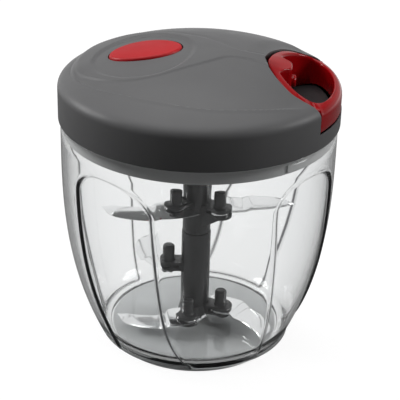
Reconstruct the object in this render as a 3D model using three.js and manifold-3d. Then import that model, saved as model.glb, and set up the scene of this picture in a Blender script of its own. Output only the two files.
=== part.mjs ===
// A pull-cord food chopper: a clear bowl, five sickle blades on a two-part spindle,
// and a domed lid whose ring handle pulls a cord off a spring-loaded reel.
// Millimetres, +Z up. The origin is the centre of the foot, the handle points along +X.
import * as THREE from 'three';
import { mergeVertices, toCreasedNormals } from 'three/addons/utils/BufferGeometryUtils.js';
import Module from 'manifold-3d';

const wasm = await Module();
wasm.setup();

// Fits
const CLEARANCE = 0.3;
const RUNNING_GAP = 0.5;
const OVERRUN = 5;
const WELD = 1e-4;
const CREASE = THREE.MathUtils.degToRad(35);

// Fineness of round work
const LARGE_SIDES = 48;
const MEDIUM_SIDES = 32;
const SMALL_SIDES = 16;

// Non-slip foot
const FOOT_RADIUS = 42;
const FOOT_HEIGHT = 2.7;
const FOOT_TREAD = 5;
const FOOT_RELIEF = 1;
const FOOT_LIP = 2;

// Bowl
const BOWL_RADIUS = 64;
const BOWL_BASE_EDGE = 3.2;
const BOWL_BASE_RADIUS = FOOT_RADIUS + BOWL_BASE_EDGE;
const BOWL_BASE_Z = FOOT_HEIGHT + CLEARANCE;
const BOWL_BASE_CHAMFER = 2;
const BELLY_HEIGHT = 97;
const BELLY_TOP_Z = BOWL_BASE_Z + BELLY_HEIGHT;
const BELLY_CURVE_SHARE = 2.6;
const BELLY_OUTER_SHARES = [0.06, 0.14, 0.25, 0.4, 0.6, 1];
const BELLY_INNER_SHARES = [0.12, 0.27, 0.48, 1];
const BOWL_WALL = 2.6;
const BASE_RECESS_RADIUS = FOOT_RADIUS - FOOT_LIP;
const BASE_RECESS_DEPTH = 2.2;
const BASE_RECESS_Z = BOWL_BASE_Z + BASE_RECESS_DEPTH;
const FLOOR_THICKNESS = 2.8;
const FLOOR_Z = BASE_RECESS_Z + FLOOR_THICKNESS;
const FLOOR_FILLET_REACH = 4;
const FLOOR_FILLET_HEIGHT = 7;
const SHOULDER_HEIGHT = 13.9;
const SHOULDER_Z = BELLY_TOP_Z + SHOULDER_HEIGHT;
const NECK_STEP = 1.7;
const NECK_RADIUS = BOWL_RADIUS - NECK_STEP;
const NECK_WALL = 1.9;
const NECK_BORE = NECK_RADIUS - NECK_WALL;
const NECK_HEIGHT = 5.2;
const RIM_Z = SHOULDER_Z + NECK_HEIGHT;

// Arched panels let into the outside of the bowl
const PANEL_COUNT = 4;
const PANEL_AZIMUTH = THREE.MathUtils.degToRad(-32);
const PANEL_WIDTH = 41;
const PANEL_HEADROOM = 11.9;
const PANEL_TOP_Z = SHOULDER_Z - PANEL_HEADROOM;
const PANEL_FOOTROOM = 2.5;
const PANEL_LOW_Z = BOWL_BASE_Z + PANEL_FOOTROOM;
const PANEL_DEPTH = 0.9;
const PANEL_SHOULDER = 14;
const PANEL_LEAN = 5;

// Spindle pin and its boss on the floor of the bowl
const PIN_RADIUS = 2.5;
const PIN_HEIGHT = 38;
const PIN_TOP_Z = FLOOR_Z + PIN_HEIGHT;
const PIN_TIP = 1.5;
const PIN_ROOT = 1.6;
const PIN_SEAT_Z = FLOOR_Z - PIN_ROOT;
const PIN_BOSS_RADIUS = 6;
const PIN_BOSS_NECK = 4.8;
const PIN_BOSS_HEIGHT = 2.6;
const PIN_BOSS_TOP_Z = FLOOR_Z + PIN_BOSS_HEIGHT;

// Lid
const LID_OVERHANG = 1;
const LID_RADIUS = BOWL_RADIUS + LID_OVERHANG;
const LID_SEAM = 0.4;
const LID_EDGE_Z = SHOULDER_Z + LID_SEAM;
const LID_HEIGHT = 31.1;
const LID_CROWN_Z = LID_EDGE_Z + LID_HEIGHT;
const DOME_DROP = 13.6;
const DOME_CURVE_SHARE = 2.8;
const DOME_RINGS = 5;
const DOME_RINGS_INSIDE = 3;
const RIM_ROLL = 3.5;
const RIM_ROLL_DEPTH = 4.9;
const RIM_ROLL_STEPS = 4;
const LID_WALL = 2.2;
const SKIRT_WALL = 1.6;
const STOP_LOW_Z = RIM_Z + RUNNING_GAP;
const STOP_HEIGHT = 1.9;
const STOP_TOP_Z = STOP_LOW_Z + STOP_HEIGHT;
const STOP_WIDTH = 4.2;

// Raised back of the lid that runs from the button to the handle, as shares of the lid radius
const SPINE_RISE = 1.1;
const SPINE_SHARES = [
  [-0.83, 0.1], [-0.85, -0.16], [-0.66, -0.36], [-0.37, -0.465], [-0.12, -0.36], [0.11, -0.17],
  [0.27, -0.09], [0.42, -0.12], [0.5, 0], [0.42, 0.11], [0.3, 0.12], [0.17, 0.22], [0.04, 0.36],
  [-0.28, 0.41], [-0.62, 0.4],
];
const SPINE_POINTS = 36;

// Field of the lid let in by a shallow step along the front rim, as shares of the lid radius
const FIELD_DEPTH = 0.5;
const FIELD_SHARES = [
  [-0.85, -0.28], [-0.7, -0.47], [-0.53, -0.6], [-0.31, -0.71], [-0.1, -0.77], [0.1, -0.78],
  [0.33, -0.74], [0.55, -0.64], [0.72, -0.52], [0.55, -0.3], [0.3, -0.2], [-0.1, -0.3],
  [-0.5, -0.25],
];
const FIELD_POINTS = 32;

// Lid base: a plug that closes the bowl from inside and carries the reel
const PLUG_GAP = 1;
const PLUG_RADIUS = NECK_BORE - PLUG_GAP;
const PLUG_WALL = 2;
const PLUG_SINK = 2.1;
const PLUG_TOP_Z = RIM_Z - PLUG_SINK;
const PLUG_HEIGHT = 10.3;
const PLUG_EDGE_Z = PLUG_TOP_Z - PLUG_HEIGHT;
const PLATE_RECESS = 3.8;
const PLATE_Z = PLUG_EDGE_Z + PLATE_RECESS;
const PLATE_THICKNESS = 2;
const PLATE_TOP_Z = PLATE_Z + PLATE_THICKNESS;
const GROOVE_HEIGHT = 2.8;
const GROOVE_DEPTH = 1.2;
const GROOVE_SINK = 1.8;
const GROOVE_LOW_Z = PLUG_TOP_Z - GROOVE_SINK - GROOVE_HEIGHT;
const SEAL_RADIUS = NECK_BORE - CLEARANCE;
const SEAL_LIP = 0.7;
const COLLAR_RADIUS = 11.6;
const COLLAR_HEIGHT = 2.5;
const COLLAR_TOP_Z = PLATE_TOP_Z + COLLAR_HEIGHT;
const LUG_COUNT = 2;
const LUG_AZIMUTH = THREE.MathUtils.degToRad(-43);
const LUG_WIDTH = 6.5;
const LUG_HEIGHT = 3.2;
const LUG_RISE = 0.6;

// Screws and their bosses
const BOSS_COUNT = 4;
const BOSS_AZIMUTH = THREE.MathUtils.degToRad(50);
const BOSS_INSET = 13.4;
const BOSS_ORBIT = PLUG_RADIUS - BOSS_INSET;
const BOSS_RADIUS = 4;
const BOSS_BORE_DEPTH = 12;
const SCREW_RADIUS = 1.4;
const SCREW_LENGTH = 10;
const SCREW_HEAD_RADIUS = 3.2;
const SCREW_HEAD_HEIGHT = 1.8;
const SCREW_HEAD_ROUND = 0.7;
const SCREW_SLOT = 0.8;
const SCREW_SIDES = 12;

// Reel
const DRUM_RADIUS = 16.5;
const DRUM_WALL = 1.8;
const CUP_RADIUS = DRUM_RADIUS - DRUM_WALL;
const FLANGE_RISE = 3.3;
const FLANGE_RADIUS = DRUM_RADIUS + FLANGE_RISE;
const FLANGE_THICKNESS = 1.8;
const REEL_LOW_Z = COLLAR_TOP_Z + CLEARANCE;
const REEL_HEIGHT = 16.4;
const REEL_TOP_Z = REEL_LOW_Z + REEL_HEIGHT;
const DRUM_LOW_Z = REEL_LOW_Z + FLANGE_THICKNESS;
const REEL_WEB = 2.4;
const CUP_FLOOR_Z = DRUM_LOW_Z + REEL_WEB;
const SOCKET_RADIUS = 8.5;
const SOCKET_DROP = 6;
const SOCKET_LOW_Z = PLATE_Z - SOCKET_DROP;
const SOCKET_HEADROOM = 1;
const CAP_INSET = 1.6;
const CAP_RADIUS = FLANGE_RADIUS - CAP_INSET;
const CAP_THICKNESS = 1.1;
const AXLE_RADIUS = 3.2;
const AXLE_SHOULDER_RADIUS = 4.6;
const AXLE_BOSS_RADIUS = 5.4;
const AXLE_BOSS_DEPTH = 9.4;
const AXLE_BOSS_LOW_Z = LID_CROWN_Z - AXLE_BOSS_DEPTH;

// Spindle, from the boss of the pin up into the socket of the reel
const COLUMN_RADIUS = 7;
const COLUMN_FOOT_Z = PIN_BOSS_TOP_Z + RUNNING_GAP;
const COLUMN_FOOT_RADIUS = 8.2;
const COLUMN_FOOT_HEIGHT = 5;
const COLUMN_HEIGHT = 43.9;
const SEAM_Z = COLUMN_FOOT_Z + COLUMN_HEIGHT;
const SLEEVE_STEP = 0.3;
const SLEEVE_RADIUS = COLUMN_RADIUS - SLEEVE_STEP;
const SLEEVE_HEADROOM = 1.5;
const SLEEVE_TOP_Z = SOCKET_LOW_Z - SLEEVE_HEADROOM;
const PIN_HEADROOM = 2;
const PIN_BORE_TOP_Z = PIN_TOP_Z + PIN_HEADROOM;
const SPIGOT_RADIUS = 4.8;
const SPIGOT_HEIGHT = 13;
const HEAD_RADIUS = 5.4;
const HEAD_REACH = 8.9;
const HEAD_TOP_Z = SOCKET_LOW_Z + HEAD_REACH;
const HEAD_TAPER = 1.6;
const HEX_SIDES = 6;

// Blade stations: an arm with a post on top, moulded through the root of the blade
const ARM_WIDTH = 8.4;
const ARM_UNDER = 2.3;
const ARM_OVER = 2.4;
const ARM_GUSSET = 6.5;
const SEAT_RADIUS = 5.8;
const POST_ORBIT_RADIUS = 13.2;
const POST_RADIUS = 2.9;
const POST_HEIGHT = 8;
const POST_ROUND = 1.6;
const PEG_RADIUS = 2.2;

// Blades
const BLADE_THICKNESS = 1.1;
const BLADE_HALF_WIDTH = 9.5;
const BLADE_GRIND = 3.2;
const BLADE_ROOT_RADIUS = 8.2;
const BLADE_EYE_RADIUS = 4.6;
const BLADE_POINT = 0.6;
const BLADE_STEPS = 10;
const LEADING_SHARES = [1, 0.92, 0.78, 0.64, 0.5, 0.32, 0];
const TRAILING_SHARES = [0.62, 0.86, 0.82, 0.74, 0.62, 0.42, 0];
const JOGGLE_START_SHARE = 0.34;
const JOGGLE_END_SHARE = 0.46;
const LOWER_Z = COLUMN_FOOT_Z + ARM_UNDER + CLEARANCE;
const LOWER_LEFT_REACH = 40;
const LOWER_RIGHT_REACH = 42.5;
const LOWER_DROP = 2.2;
const MIDDLE_RISE = 25.4;
const MIDDLE_Z = COLUMN_FOOT_Z + MIDDLE_RISE;
const MIDDLE_REACH = 44;
const UPPER_LEFT_RISE = 15.6;
const UPPER_LEFT_Z = SEAM_Z + UPPER_LEFT_RISE;
const UPPER_RIGHT_RISE = 14;
const UPPER_RIGHT_Z = SEAM_Z + UPPER_RIGHT_RISE;
const UPPER_REACH = 47;
const UPPER_DROP = 1.2;

// Each blade's unit, level, reach and drop, with its post, root and sweep in degrees of azimuth
const BLADES = [
  { name: 'lower_blade_left', unit: 'lower', rootZ: LOWER_Z, reach: LOWER_LEFT_REACH,
    drop: LOWER_DROP, post: 261, root: 262, sweep: -64, bend: 0.75, gusset: 0 },
  { name: 'lower_blade_right', unit: 'lower', rootZ: LOWER_Z, reach: LOWER_RIGHT_REACH,
    drop: LOWER_DROP, post: 350, root: 368, sweep: -35, bend: 1.4, gusset: 0 },
  { name: 'middle_blade', unit: 'lower', rootZ: MIDDLE_Z, reach: MIDDLE_REACH, drop: LOWER_DROP,
    post: 187, root: 186, sweep: -56, bend: 0.9, gusset: ARM_GUSSET },
  { name: 'upper_blade_left', unit: 'upper', rootZ: UPPER_LEFT_Z, reach: UPPER_REACH, drop: UPPER_DROP,
    post: 227, root: 224, sweep: -27, bend: 1, gusset: 0 },
  { name: 'upper_blade_right', unit: 'upper', rootZ: UPPER_RIGHT_Z, reach: UPPER_REACH,
    drop: -UPPER_DROP, post: 330, root: 366, sweep: 3, bend: 1, gusset: ARM_GUSSET },
];

// Pocket in the lid and the ring handle that parks in it
const GUIDE_ASIDE = 5.4;
const GUIDE_START_X = FLANGE_RADIUS + GUIDE_ASIDE;
const GUIDE_FLANGE = 1.2;
const POCKET_WALL = 1.8;
const POCKET_NOSE_X = GUIDE_START_X + GUIDE_FLANGE + CLEARANCE + POCKET_WALL;
const POCKET_FLOOR_Z = STOP_TOP_Z;
const HANDLE_RADIUS = LID_RADIUS - CLEARANCE;
const HANDLE_REACH = 16;
const HANDLE_CENTRE_X = POCKET_NOSE_X + RUNNING_GAP + HANDLE_REACH;
const HANDLE_SPAN = THREE.MathUtils.degToRad(30.56);
const HANDLE_RIM_HALF_WIDTH = HANDLE_RADIUS * Math.sin(HANDLE_SPAN);
const HANDLE_RIM_X = HANDLE_RADIUS * Math.cos(HANDLE_SPAN);
const HANDLE_TAPER = 3.4;
const HANDLE_HALF_WIDTH = HANDLE_RIM_HALF_WIDTH - HANDLE_TAPER;
const HANDLE_CURVE_SHARE = 1.57;
const HANDLE_STEPS = 18;
const HANDLE_RISE = -1.1;
const HANDLE_LOW_Z = POCKET_FLOOR_Z + RUNNING_GAP;
const HANDLE_BAR = 6;
const HANDLE_CHEEK = 3.2;
const HANDLE_CORNER = 7.2;
const HANDLE_RIM_BAR = 4.1;
const FINGER_ASIDE = 4;
const FINGER_CENTRE_X = HANDLE_CENTRE_X + FINGER_ASIDE;
const FINGER_REACH = HANDLE_REACH + FINGER_ASIDE - HANDLE_BAR;
const HANDLE_SLOPE = HANDLE_TAPER / (HANDLE_RIM_X - HANDLE_CENTRE_X);
const FINGER_HALF_WIDTH = HANDLE_HALF_WIDTH + FINGER_ASIDE * HANDLE_SLOPE - HANDLE_CHEEK;
const FINGER_RIM_HALF_WIDTH = HANDLE_RIM_HALF_WIDTH - HANDLE_CORNER;
const FINGER_RADIUS = HANDLE_RADIUS - HANDLE_RIM_BAR;
const FINGER_NOSE_X = FINGER_CENTRE_X - FINGER_REACH;
const TAB_LENGTH = 2;
const TAB_RADIUS = 5.6;
const TAB_DEPTH = 7.8;

// Cord
const CORD_RADIUS = 0.8;
const CORD_TURNS = 4.9;
const CORD_SIDES = 6;
const CORD_STEPS = 24;
const LEAD_SIDES = 8;
const CORD_Z = REEL_TOP_Z - FLANGE_THICKNESS - CORD_RADIUS - 2 * CLEARANCE;
const CORD_PITCH = (CORD_Z - CORD_RADIUS - CLEARANCE - DRUM_LOW_Z) / CORD_TURNS;
const WINDING_RADIUS = DRUM_RADIUS + CLEARANCE + CORD_RADIUS;
const KNOT_RADIUS = 2.2;
const KNOT_LENGTH = 3.4;
const KNOT_BOSS_LENGTH = 4.5;
const KNOT_BOSS_HALF_WIDTH = 4.6;
const KNOT_BOSS_HALF_HEIGHT = 4.9;
const KNOT_BOSS_END_X = FINGER_NOSE_X + KNOT_BOSS_LENGTH;
const GUIDE_BORE = 1.4;
const GUIDE_WALL = 1.1;
const GUIDE_RADIUS = GUIDE_BORE + GUIDE_WALL;
const GUIDE_FLANGE_RADIUS = 3.7;

// The cord leaves the drum where a straight run just meets the guide
const LEAD_END_X = GUIDE_START_X - CLEARANCE;
const LEAVING_ANGLE = -Math.acos(WINDING_RADIUS / LEAD_END_X);

// Return spring of the reel: a flat strip wound in a spiral from the axle to the drum
const STRIP_THICKNESS = 0.45;
const STRIP_HEIGHT = 8;
const STRIP_TURNS = 5;
const STRIP_STEPS = 16;
const STRIP_START = AXLE_RADIUS + CLEARANCE + STRIP_THICKNESS / 2;
const STRIP_PITCH = (CUP_RADIUS - CLEARANCE - STRIP_THICKNESS / 2 - STRIP_START) / STRIP_TURNS;

// Vent button, over a tube that stands beside the reel
const VENT_BORE = 3.3;
const VENT_TUBE_WALL = 1.3;
const VENT_TUBE_HEIGHT = 15.5;
const VENT_TUBE_TOP_Z = PLATE_Z + VENT_TUBE_HEIGHT;
const VENT_ASIDE = 1.2;
const BUTTON_X = -(FLANGE_RADIUS + VENT_ASIDE + VENT_TUBE_WALL + VENT_BORE);
const BUTTON_LENGTH = 35;
const BUTTON_WIDTH = 25.4;
const BUTTON_TURN = THREE.MathUtils.degToRad(20);
const BUTTON_RISE = 2.3;
const BUTTON_LIP = 1.2;
const BUTTON_LIP_HEIGHT = 1.7;
const BUTTON_LIP_DEPTH = 7.7;
const BUTTON_LIP_TOP_Z = LID_CROWN_Z - BUTTON_LIP_DEPTH;
const BUTTON_WALL = 2;
const BUTTON_CEILING_DEPTH = 4.4;
const BUTTON_CEILING_Z = LID_CROWN_Z - BUTTON_CEILING_DEPTH;
const BUTTON_STEM_RADIUS = 2.5;
const BUTTON_GUIDE_WALL = 1.6;
const STEM_BARB = 0.9;
const STEM_BARB_HEIGHT = 1;
const VALVE_RADIUS = 6.8;
const VALVE_THICKNESS = 2;
const STEM_LOW_Z = PLATE_Z - CLEARANCE - VALVE_THICKNESS - CLEARANCE;

// Button spring
const COIL_RADIUS = 3.85;
const COIL_WIRE_RADIUS = 0.42;
const COIL_TURNS = 6;
const COIL_STEPS = 8;
const COIL_SIDES = 5;

// Solid of a closed geometry, for joins and cuts
function solidOf(geometry) {
  const bare = geometry.clone();
  bare.deleteAttribute('normal');
  bare.deleteAttribute('uv');
  const merged = mergeVertices(bare, WELD);
  const index = merged.index.array;
  const faces = [];
  for (let i = 0; i < index.length; i += 3) {
    const [a, b, c] = index.slice(i, i + 3);
    if (a !== b && b !== c && c !== a) faces.push(a, b, c);
  }
  return new wasm.Manifold(new wasm.Mesh({
    numProp: 3,
    vertProperties: new Float32Array(merged.attributes.position.array),
    triVerts: new Uint32Array(faces),
  }));
}

// Geometry of a solid, with its edges kept crisp
function geometryOf(solid) {
  const mesh = solid.getMesh();
  const geometry = new THREE.BufferGeometry();
  geometry.setAttribute('position', new THREE.BufferAttribute(mesh.vertProperties, 3));
  geometry.setIndex(new THREE.BufferAttribute(mesh.triVerts, 1));
  return toCreasedNormals(geometry, CREASE);
}

function join(first, ...others) {
  return others.reduce((whole, other) => whole.add(other), first);
}

function cut(first, ...others) {
  return others.reduce((whole, other) => whole.subtract(other), first);
}

// Solid turned about the Z axis from a profile of [radius, height] points
function turned(profile, sides = LARGE_SIDES) {
  const points = profile.map(([radius, height]) => new THREE.Vector2(radius, height));
  return solidOf(new THREE.LatheGeometry(points, sides).rotateX(Math.PI / 2));
}

// Ring turned about the Z axis between two radii and two heights
function ring(inner, outer, lowZ, highZ, sides = LARGE_SIDES) {
  return turned([[inner, lowZ], [outer, lowZ], [outer, highZ], [inner, highZ], [inner, lowZ]], sides);
}

// Upright disc or post at a place in plan
function disc(radius, lowZ, highZ, sides = MEDIUM_SIDES, x = 0, y = 0) {
  const geometry = new THREE.CylinderGeometry(radius, radius, highZ - lowZ, sides).rotateX(Math.PI / 2);
  return solidOf(geometry.translate(x, y, (lowZ + highZ) / 2));
}

// Upright prism on an outline in plan
function prism(outline, lowZ, highZ) {
  const settings = { depth: highZ - lowZ, bevelEnabled: false };
  const geometry = new THREE.ExtrudeGeometry(new THREE.Shape(outline), settings);
  return solidOf(geometry.translate(0, 0, lowZ));
}

// Round bar along X between two places
function barX(radius, startX, endX, z, sides = SMALL_SIDES) {
  const geometry = new THREE.CylinderGeometry(radius, radius, endX - startX, sides);
  return solidOf(geometry.rotateZ(Math.PI / 2).translate((startX + endX) / 2, 0, z));
}

// Closed skin over rings of points, each ring right-handed about the way the loft travels
function loft(rings) {
  const count = rings[0].length;
  const positions = rings.flat().flatMap((point) => [point.x, point.y, point.z]);
  const faces = [];
  for (let i = 0; i + 1 < rings.length; i++) {
    for (let j = 0; j < count; j++) {
      const here = i * count + j;
      const next = i * count + ((j + 1) % count);
      faces.push(here, next, next + count, here, next + count, here + count);
    }
  }
  const last = (rings.length - 1) * count;
  for (let j = 1; j + 1 < count; j++) {
    faces.push(0, j + 1, j, last, last + j, last + j + 1);
  }
  const geometry = new THREE.BufferGeometry();
  geometry.setAttribute('position', new THREE.Float32BufferAttribute(positions, 3));
  geometry.setIndex(faces);
  return geometry;
}

// Section swept along points that run round the Z axis, each section point [side, up]
function sweep(points, section) {
  const rings = points.map((point, i) => {
    const before = points[Math.max(i - 1, 0)];
    const after = points[Math.min(i + 1, points.length - 1)];
    const along = after.clone().sub(before).normalize();
    const side = new THREE.Vector3(0, 0, 1).cross(along).normalize();
    const up = along.clone().cross(side);
    return section.map(([across, rise]) =>
      point.clone().addScaledVector(side, across).addScaledVector(up, rise));
  });
  return loft(rings);
}

function roundSection(radius, sides) {
  return Array.from({ length: sides }, (_, i) => {
    const angle = ((i + 0.5) / sides) * 2 * Math.PI;
    return [radius * Math.cos(angle), radius * Math.sin(angle)];
  });
}

function polar(radius, angle, z = 0) {
  return new THREE.Vector3(radius * Math.cos(angle), radius * Math.sin(angle), z);
}

// Smooth closed outline through points given as shares of a length
function smoothOutline(shares, length, count) {
  const corners = shares.map(([x, y]) => new THREE.Vector3(x * length, y * length, 0));
  const curve = new THREE.CatmullRomCurve3(corners, true);
  return curve.getPoints(count).slice(0, count).map((point) => new THREE.Vector2(point.x, point.y));
}

function circleOutline(lengthX, lengthY, turn, x, sides) {
  return Array.from({ length: sides }, (_, i) => {
    const angle = (i / sides) * 2 * Math.PI;
    const along = (lengthX / 2) * Math.cos(angle);
    const across = (lengthY / 2) * Math.sin(angle);
    return new THREE.Vector2(
      x + along * Math.cos(turn) - across * Math.sin(turn),
      along * Math.sin(turn) + across * Math.cos(turn),
    );
  });
}

// Least distance between stretches of a tube that lie more than half a turn apart
function gapToItself(points, stepsPerTurn, thickness) {
  let least = Infinity;
  for (let i = 0; i < points.length; i++) {
    for (let j = i + Math.ceil(stepsPerTurn / 2); j < points.length; j++) {
      least = Math.min(least, points[i].distanceTo(points[j]));
    }
  }
  return least - thickness;
}

// Outside radius of the bowl at a height
function bowlRadiusAt(z) {
  const climb = (z - BOWL_BASE_Z) / BELLY_HEIGHT;
  const left = Math.max(0, 1 - climb);
  return BOWL_RADIUS - (BOWL_RADIUS - BOWL_BASE_RADIUS) * left ** BELLY_CURVE_SHARE;
}

// Profile points on the belly above a starting height, drawn in by an inset
function bellyProfile(startZ, shares, inset) {
  return shares.map((share) => {
    const z = THREE.MathUtils.lerp(startZ, BELLY_TOP_Z, share);
    return [bowlRadiusAt(z) - inset, z];
  });
}

// Outside profile of the bowl, drawn in by an inset, from the base edge to the shoulder
function bowlOutside(inset) {
  const edgeZ = BOWL_BASE_Z + BOWL_BASE_CHAMFER;
  return [
    [bowlRadiusAt(BOWL_BASE_Z) - BOWL_BASE_CHAMFER / 2 - inset, BOWL_BASE_Z],
    [bowlRadiusAt(edgeZ) - inset, edgeZ],
    ...bellyProfile(edgeZ, BELLY_OUTER_SHARES, inset),
    [BOWL_RADIUS - inset, SHOULDER_Z],
  ];
}

// Arch that bounds a panel: x runs across the panel, y is height
function panelOutline() {
  const half = PANEL_WIDTH / 2;
  const shape = new THREE.Shape();
  shape.moveTo(PANEL_LEAN - half, PANEL_LOW_Z);
  shape.lineTo(PANEL_LEAN + half, PANEL_LOW_Z);
  shape.lineTo(half, PANEL_TOP_Z - PANEL_SHOULDER);
  shape.quadraticCurveTo(half, PANEL_TOP_Z, 0, PANEL_TOP_Z);
  shape.quadraticCurveTo(-half, PANEL_TOP_Z, -half, PANEL_TOP_Z - PANEL_SHOULDER);
  return new THREE.Shape(shape.getPoints(5));
}

function makeBowl() {
  const filletTopZ = FLOOR_Z + FLOOR_FILLET_HEIGHT;
  const floorRadius = bowlRadiusAt(FLOOR_Z) - BOWL_WALL;
  const fillet = new THREE.QuadraticBezierCurve(
    new THREE.Vector2(bowlRadiusAt(filletTopZ) - BOWL_WALL, filletTopZ),
    new THREE.Vector2(floorRadius, FLOOR_Z),
    new THREE.Vector2(floorRadius - FLOOR_FILLET_REACH, FLOOR_Z),
  ).getPoints(3).map((point) => [point.x, point.y]);
  const inside = bellyProfile(filletTopZ, BELLY_INNER_SHARES, BOWL_WALL);
  const body = turned([
    [0, BASE_RECESS_Z],
    [BASE_RECESS_RADIUS, BASE_RECESS_Z],
    [BASE_RECESS_RADIUS, BOWL_BASE_Z],
    ...bowlOutside(0),
    [NECK_RADIUS, SHOULDER_Z],
    [NECK_RADIUS, RIM_Z],
    [NECK_BORE, RIM_Z],
    [NECK_BORE, SHOULDER_Z - BOWL_WALL],
    ...inside.reverse(),
    ...fillet,
    [PIN_BOSS_RADIUS, FLOOR_Z],
    [PIN_BOSS_NECK, PIN_BOSS_TOP_Z],
    [0, PIN_BOSS_TOP_Z],
  ]);
  // Each panel is the arch swept outwards, less the bowl as it stands behind the panel
  const behind = turned([[0, BOWL_BASE_Z], ...bowlOutside(PANEL_DEPTH), [0, SHOULDER_Z]]);
  const arch = new THREE.ExtrudeGeometry(panelOutline(), {
    depth: BOWL_RADIUS,
    bevelEnabled: false,
  }).rotateX(Math.PI / 2);
  const panels = Array.from({ length: PANEL_COUNT }, (_, i) => {
    const turn = PANEL_AZIMUTH + (i / PANEL_COUNT) * 2 * Math.PI;
    return cut(solidOf(arch.clone().translate(0, -OVERRUN, 0).rotateZ(turn)), behind);
  });
  const pinHole = disc(PIN_RADIUS + CLEARANCE, PIN_SEAT_Z - CLEARANCE, PIN_BOSS_TOP_Z + OVERRUN, SMALL_SIDES);
  return cut(body, ...panels, pinHole);
}

function makeFoot() {
  const topZ = BASE_RECESS_Z - CLEARANCE;
  return turned([
    [0, FOOT_RELIEF],
    [FOOT_RADIUS - FOOT_TREAD, FOOT_RELIEF],
    [FOOT_RADIUS - FOOT_TREAD, 0],
    [FOOT_RADIUS, 0],
    [FOOT_RADIUS, FOOT_HEIGHT],
    [BASE_RECESS_RADIUS - CLEARANCE, FOOT_HEIGHT],
    [BASE_RECESS_RADIUS - CLEARANCE, topZ],
    [0, topZ],
  ]);
}

function makePin() {
  return turned([
    [0, PIN_SEAT_Z],
    [PIN_RADIUS, PIN_SEAT_Z],
    [PIN_RADIUS, PIN_TOP_Z - PIN_TIP],
    [PIN_RADIUS - PIN_TIP, PIN_TOP_Z],
    [0, PIN_TOP_Z],
  ], SMALL_SIDES);
}

// Value between the entries of a table of shares that are spread evenly from 0 to 1
function between(shares, place) {
  const span = place * (shares.length - 1);
  const low = Math.min(Math.floor(span), shares.length - 2);
  return THREE.MathUtils.lerp(shares[low], shares[low + 1], span - low);
}

// Sickle blade lofted from its root to its tip; grow opens it out into the slot for its root
function bladeGeometry(blade, grow) {
  const start = BLADE_ROOT_RADIUS - grow;
  const half = BLADE_THICKNESS / 2 + grow;
  const rings = [];
  const place = (share) => polar(
    THREE.MathUtils.lerp(start, blade.reach, share),
    THREE.MathUtils.degToRad(blade.root + blade.sweep * share ** blade.bend),
  );
  for (let i = 0; i <= BLADE_STEPS; i++) {
    const share = i / BLADE_STEPS;
    const nudge = 0.5 / BLADE_STEPS;
    const along = place(Math.min(share + nudge, 1)).sub(place(Math.max(share - nudge, 0))).normalize();
    const side = new THREE.Vector3(0, 0, 1).cross(along);
    const joggle = THREE.MathUtils.smoothstep(share, JOGGLE_START_SHARE, JOGGLE_END_SHARE);
    const level = blade.rootZ - blade.drop * joggle;
    const leading = BLADE_HALF_WIDTH * between(LEADING_SHARES, share) + BLADE_POINT + grow;
    const trailing = BLADE_HALF_WIDTH * between(TRAILING_SHARES, share) + BLADE_POINT + grow;
    const grind = Math.min(BLADE_GRIND, leading);
    rings.push([
      [leading, -half],
      [leading - grind * (grow ? 0 : 1), half],
      [-trailing, half],
      [-trailing, -half],
    ].map(([across, rise]) => place(share).addScaledVector(side, across)
      .add(new THREE.Vector3(0, 0, level + rise))));
  }
  return loft(rings);
}

function postPlace(blade) {
  return polar(POST_ORBIT_RADIUS, THREE.MathUtils.degToRad(blade.post));
}

// Blade with the eye of its root round the post; grow opens both out into their slot
function bladeSolid(blade, grow) {
  const place = postPlace(blade);
  const half = BLADE_THICKNESS / 2 + grow;
  const eye = disc(BLADE_EYE_RADIUS + grow, blade.rootZ - half, blade.rootZ + half,
    SMALL_SIDES, place.x, place.y);
  return join(solidOf(bladeGeometry(blade, grow)), eye);
}

function makeBlade(blade) {
  const place = postPlace(blade);
  const hole = disc(PEG_RADIUS + CLEARANCE, blade.rootZ - OVERRUN, blade.rootZ + OVERRUN,
    SMALL_SIDES, place.x, place.y);
  return cut(bladeSolid(blade, 0), hole);
}

// Arm, seat and post of one blade, in place on the spindle's axis
function bladeStation(blade) {
  const place = postPlace(blade);
  const turn = THREE.MathUtils.degToRad(blade.post);
  const lowZ = blade.rootZ - ARM_UNDER;
  const highZ = blade.rootZ + ARM_OVER;
  const side = new THREE.Shape([
    new THREE.Vector2(0, lowZ - blade.gusset),
    new THREE.Vector2(COLUMN_RADIUS, lowZ - blade.gusset),
    new THREE.Vector2(POST_ORBIT_RADIUS + SEAT_RADIUS / 2, lowZ),
    new THREE.Vector2(POST_ORBIT_RADIUS + SEAT_RADIUS / 2, highZ),
    new THREE.Vector2(0, highZ),
  ]);
  const arm = new THREE.ExtrudeGeometry(side, { depth: ARM_WIDTH, bevelEnabled: false })
    .rotateX(Math.PI / 2).translate(0, ARM_WIDTH / 2, 0).rotateZ(turn);
  const seat = disc(SEAT_RADIUS, lowZ, highZ, MEDIUM_SIDES / 2, place.x, place.y);
  const post = new THREE.LatheGeometry([
    new THREE.Vector2(0, highZ - ARM_OVER / 2),
    new THREE.Vector2(POST_RADIUS, highZ - ARM_OVER / 2),
    new THREE.Vector2(POST_RADIUS, highZ + POST_HEIGHT - POST_ROUND),
    new THREE.Vector2(POST_RADIUS - POST_ROUND / 2, highZ + POST_HEIGHT - POST_ROUND / 3),
    new THREE.Vector2(0, highZ + POST_HEIGHT),
  ], MEDIUM_SIDES / 2).rotateX(Math.PI / 2).translate(place.x, place.y, 0);
  return join(solidOf(arm), seat, solidOf(post));
}

// Slots for the blade roots, crossed by the pegs that hold the blades
function bladeSlot(blade) {
  const place = postPlace(blade);
  const peg = disc(PEG_RADIUS, blade.rootZ - OVERRUN, blade.rootZ + OVERRUN,
    SMALL_SIDES, place.x, place.y);
  return cut(bladeSolid(blade, CLEARANCE), peg);
}

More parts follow.
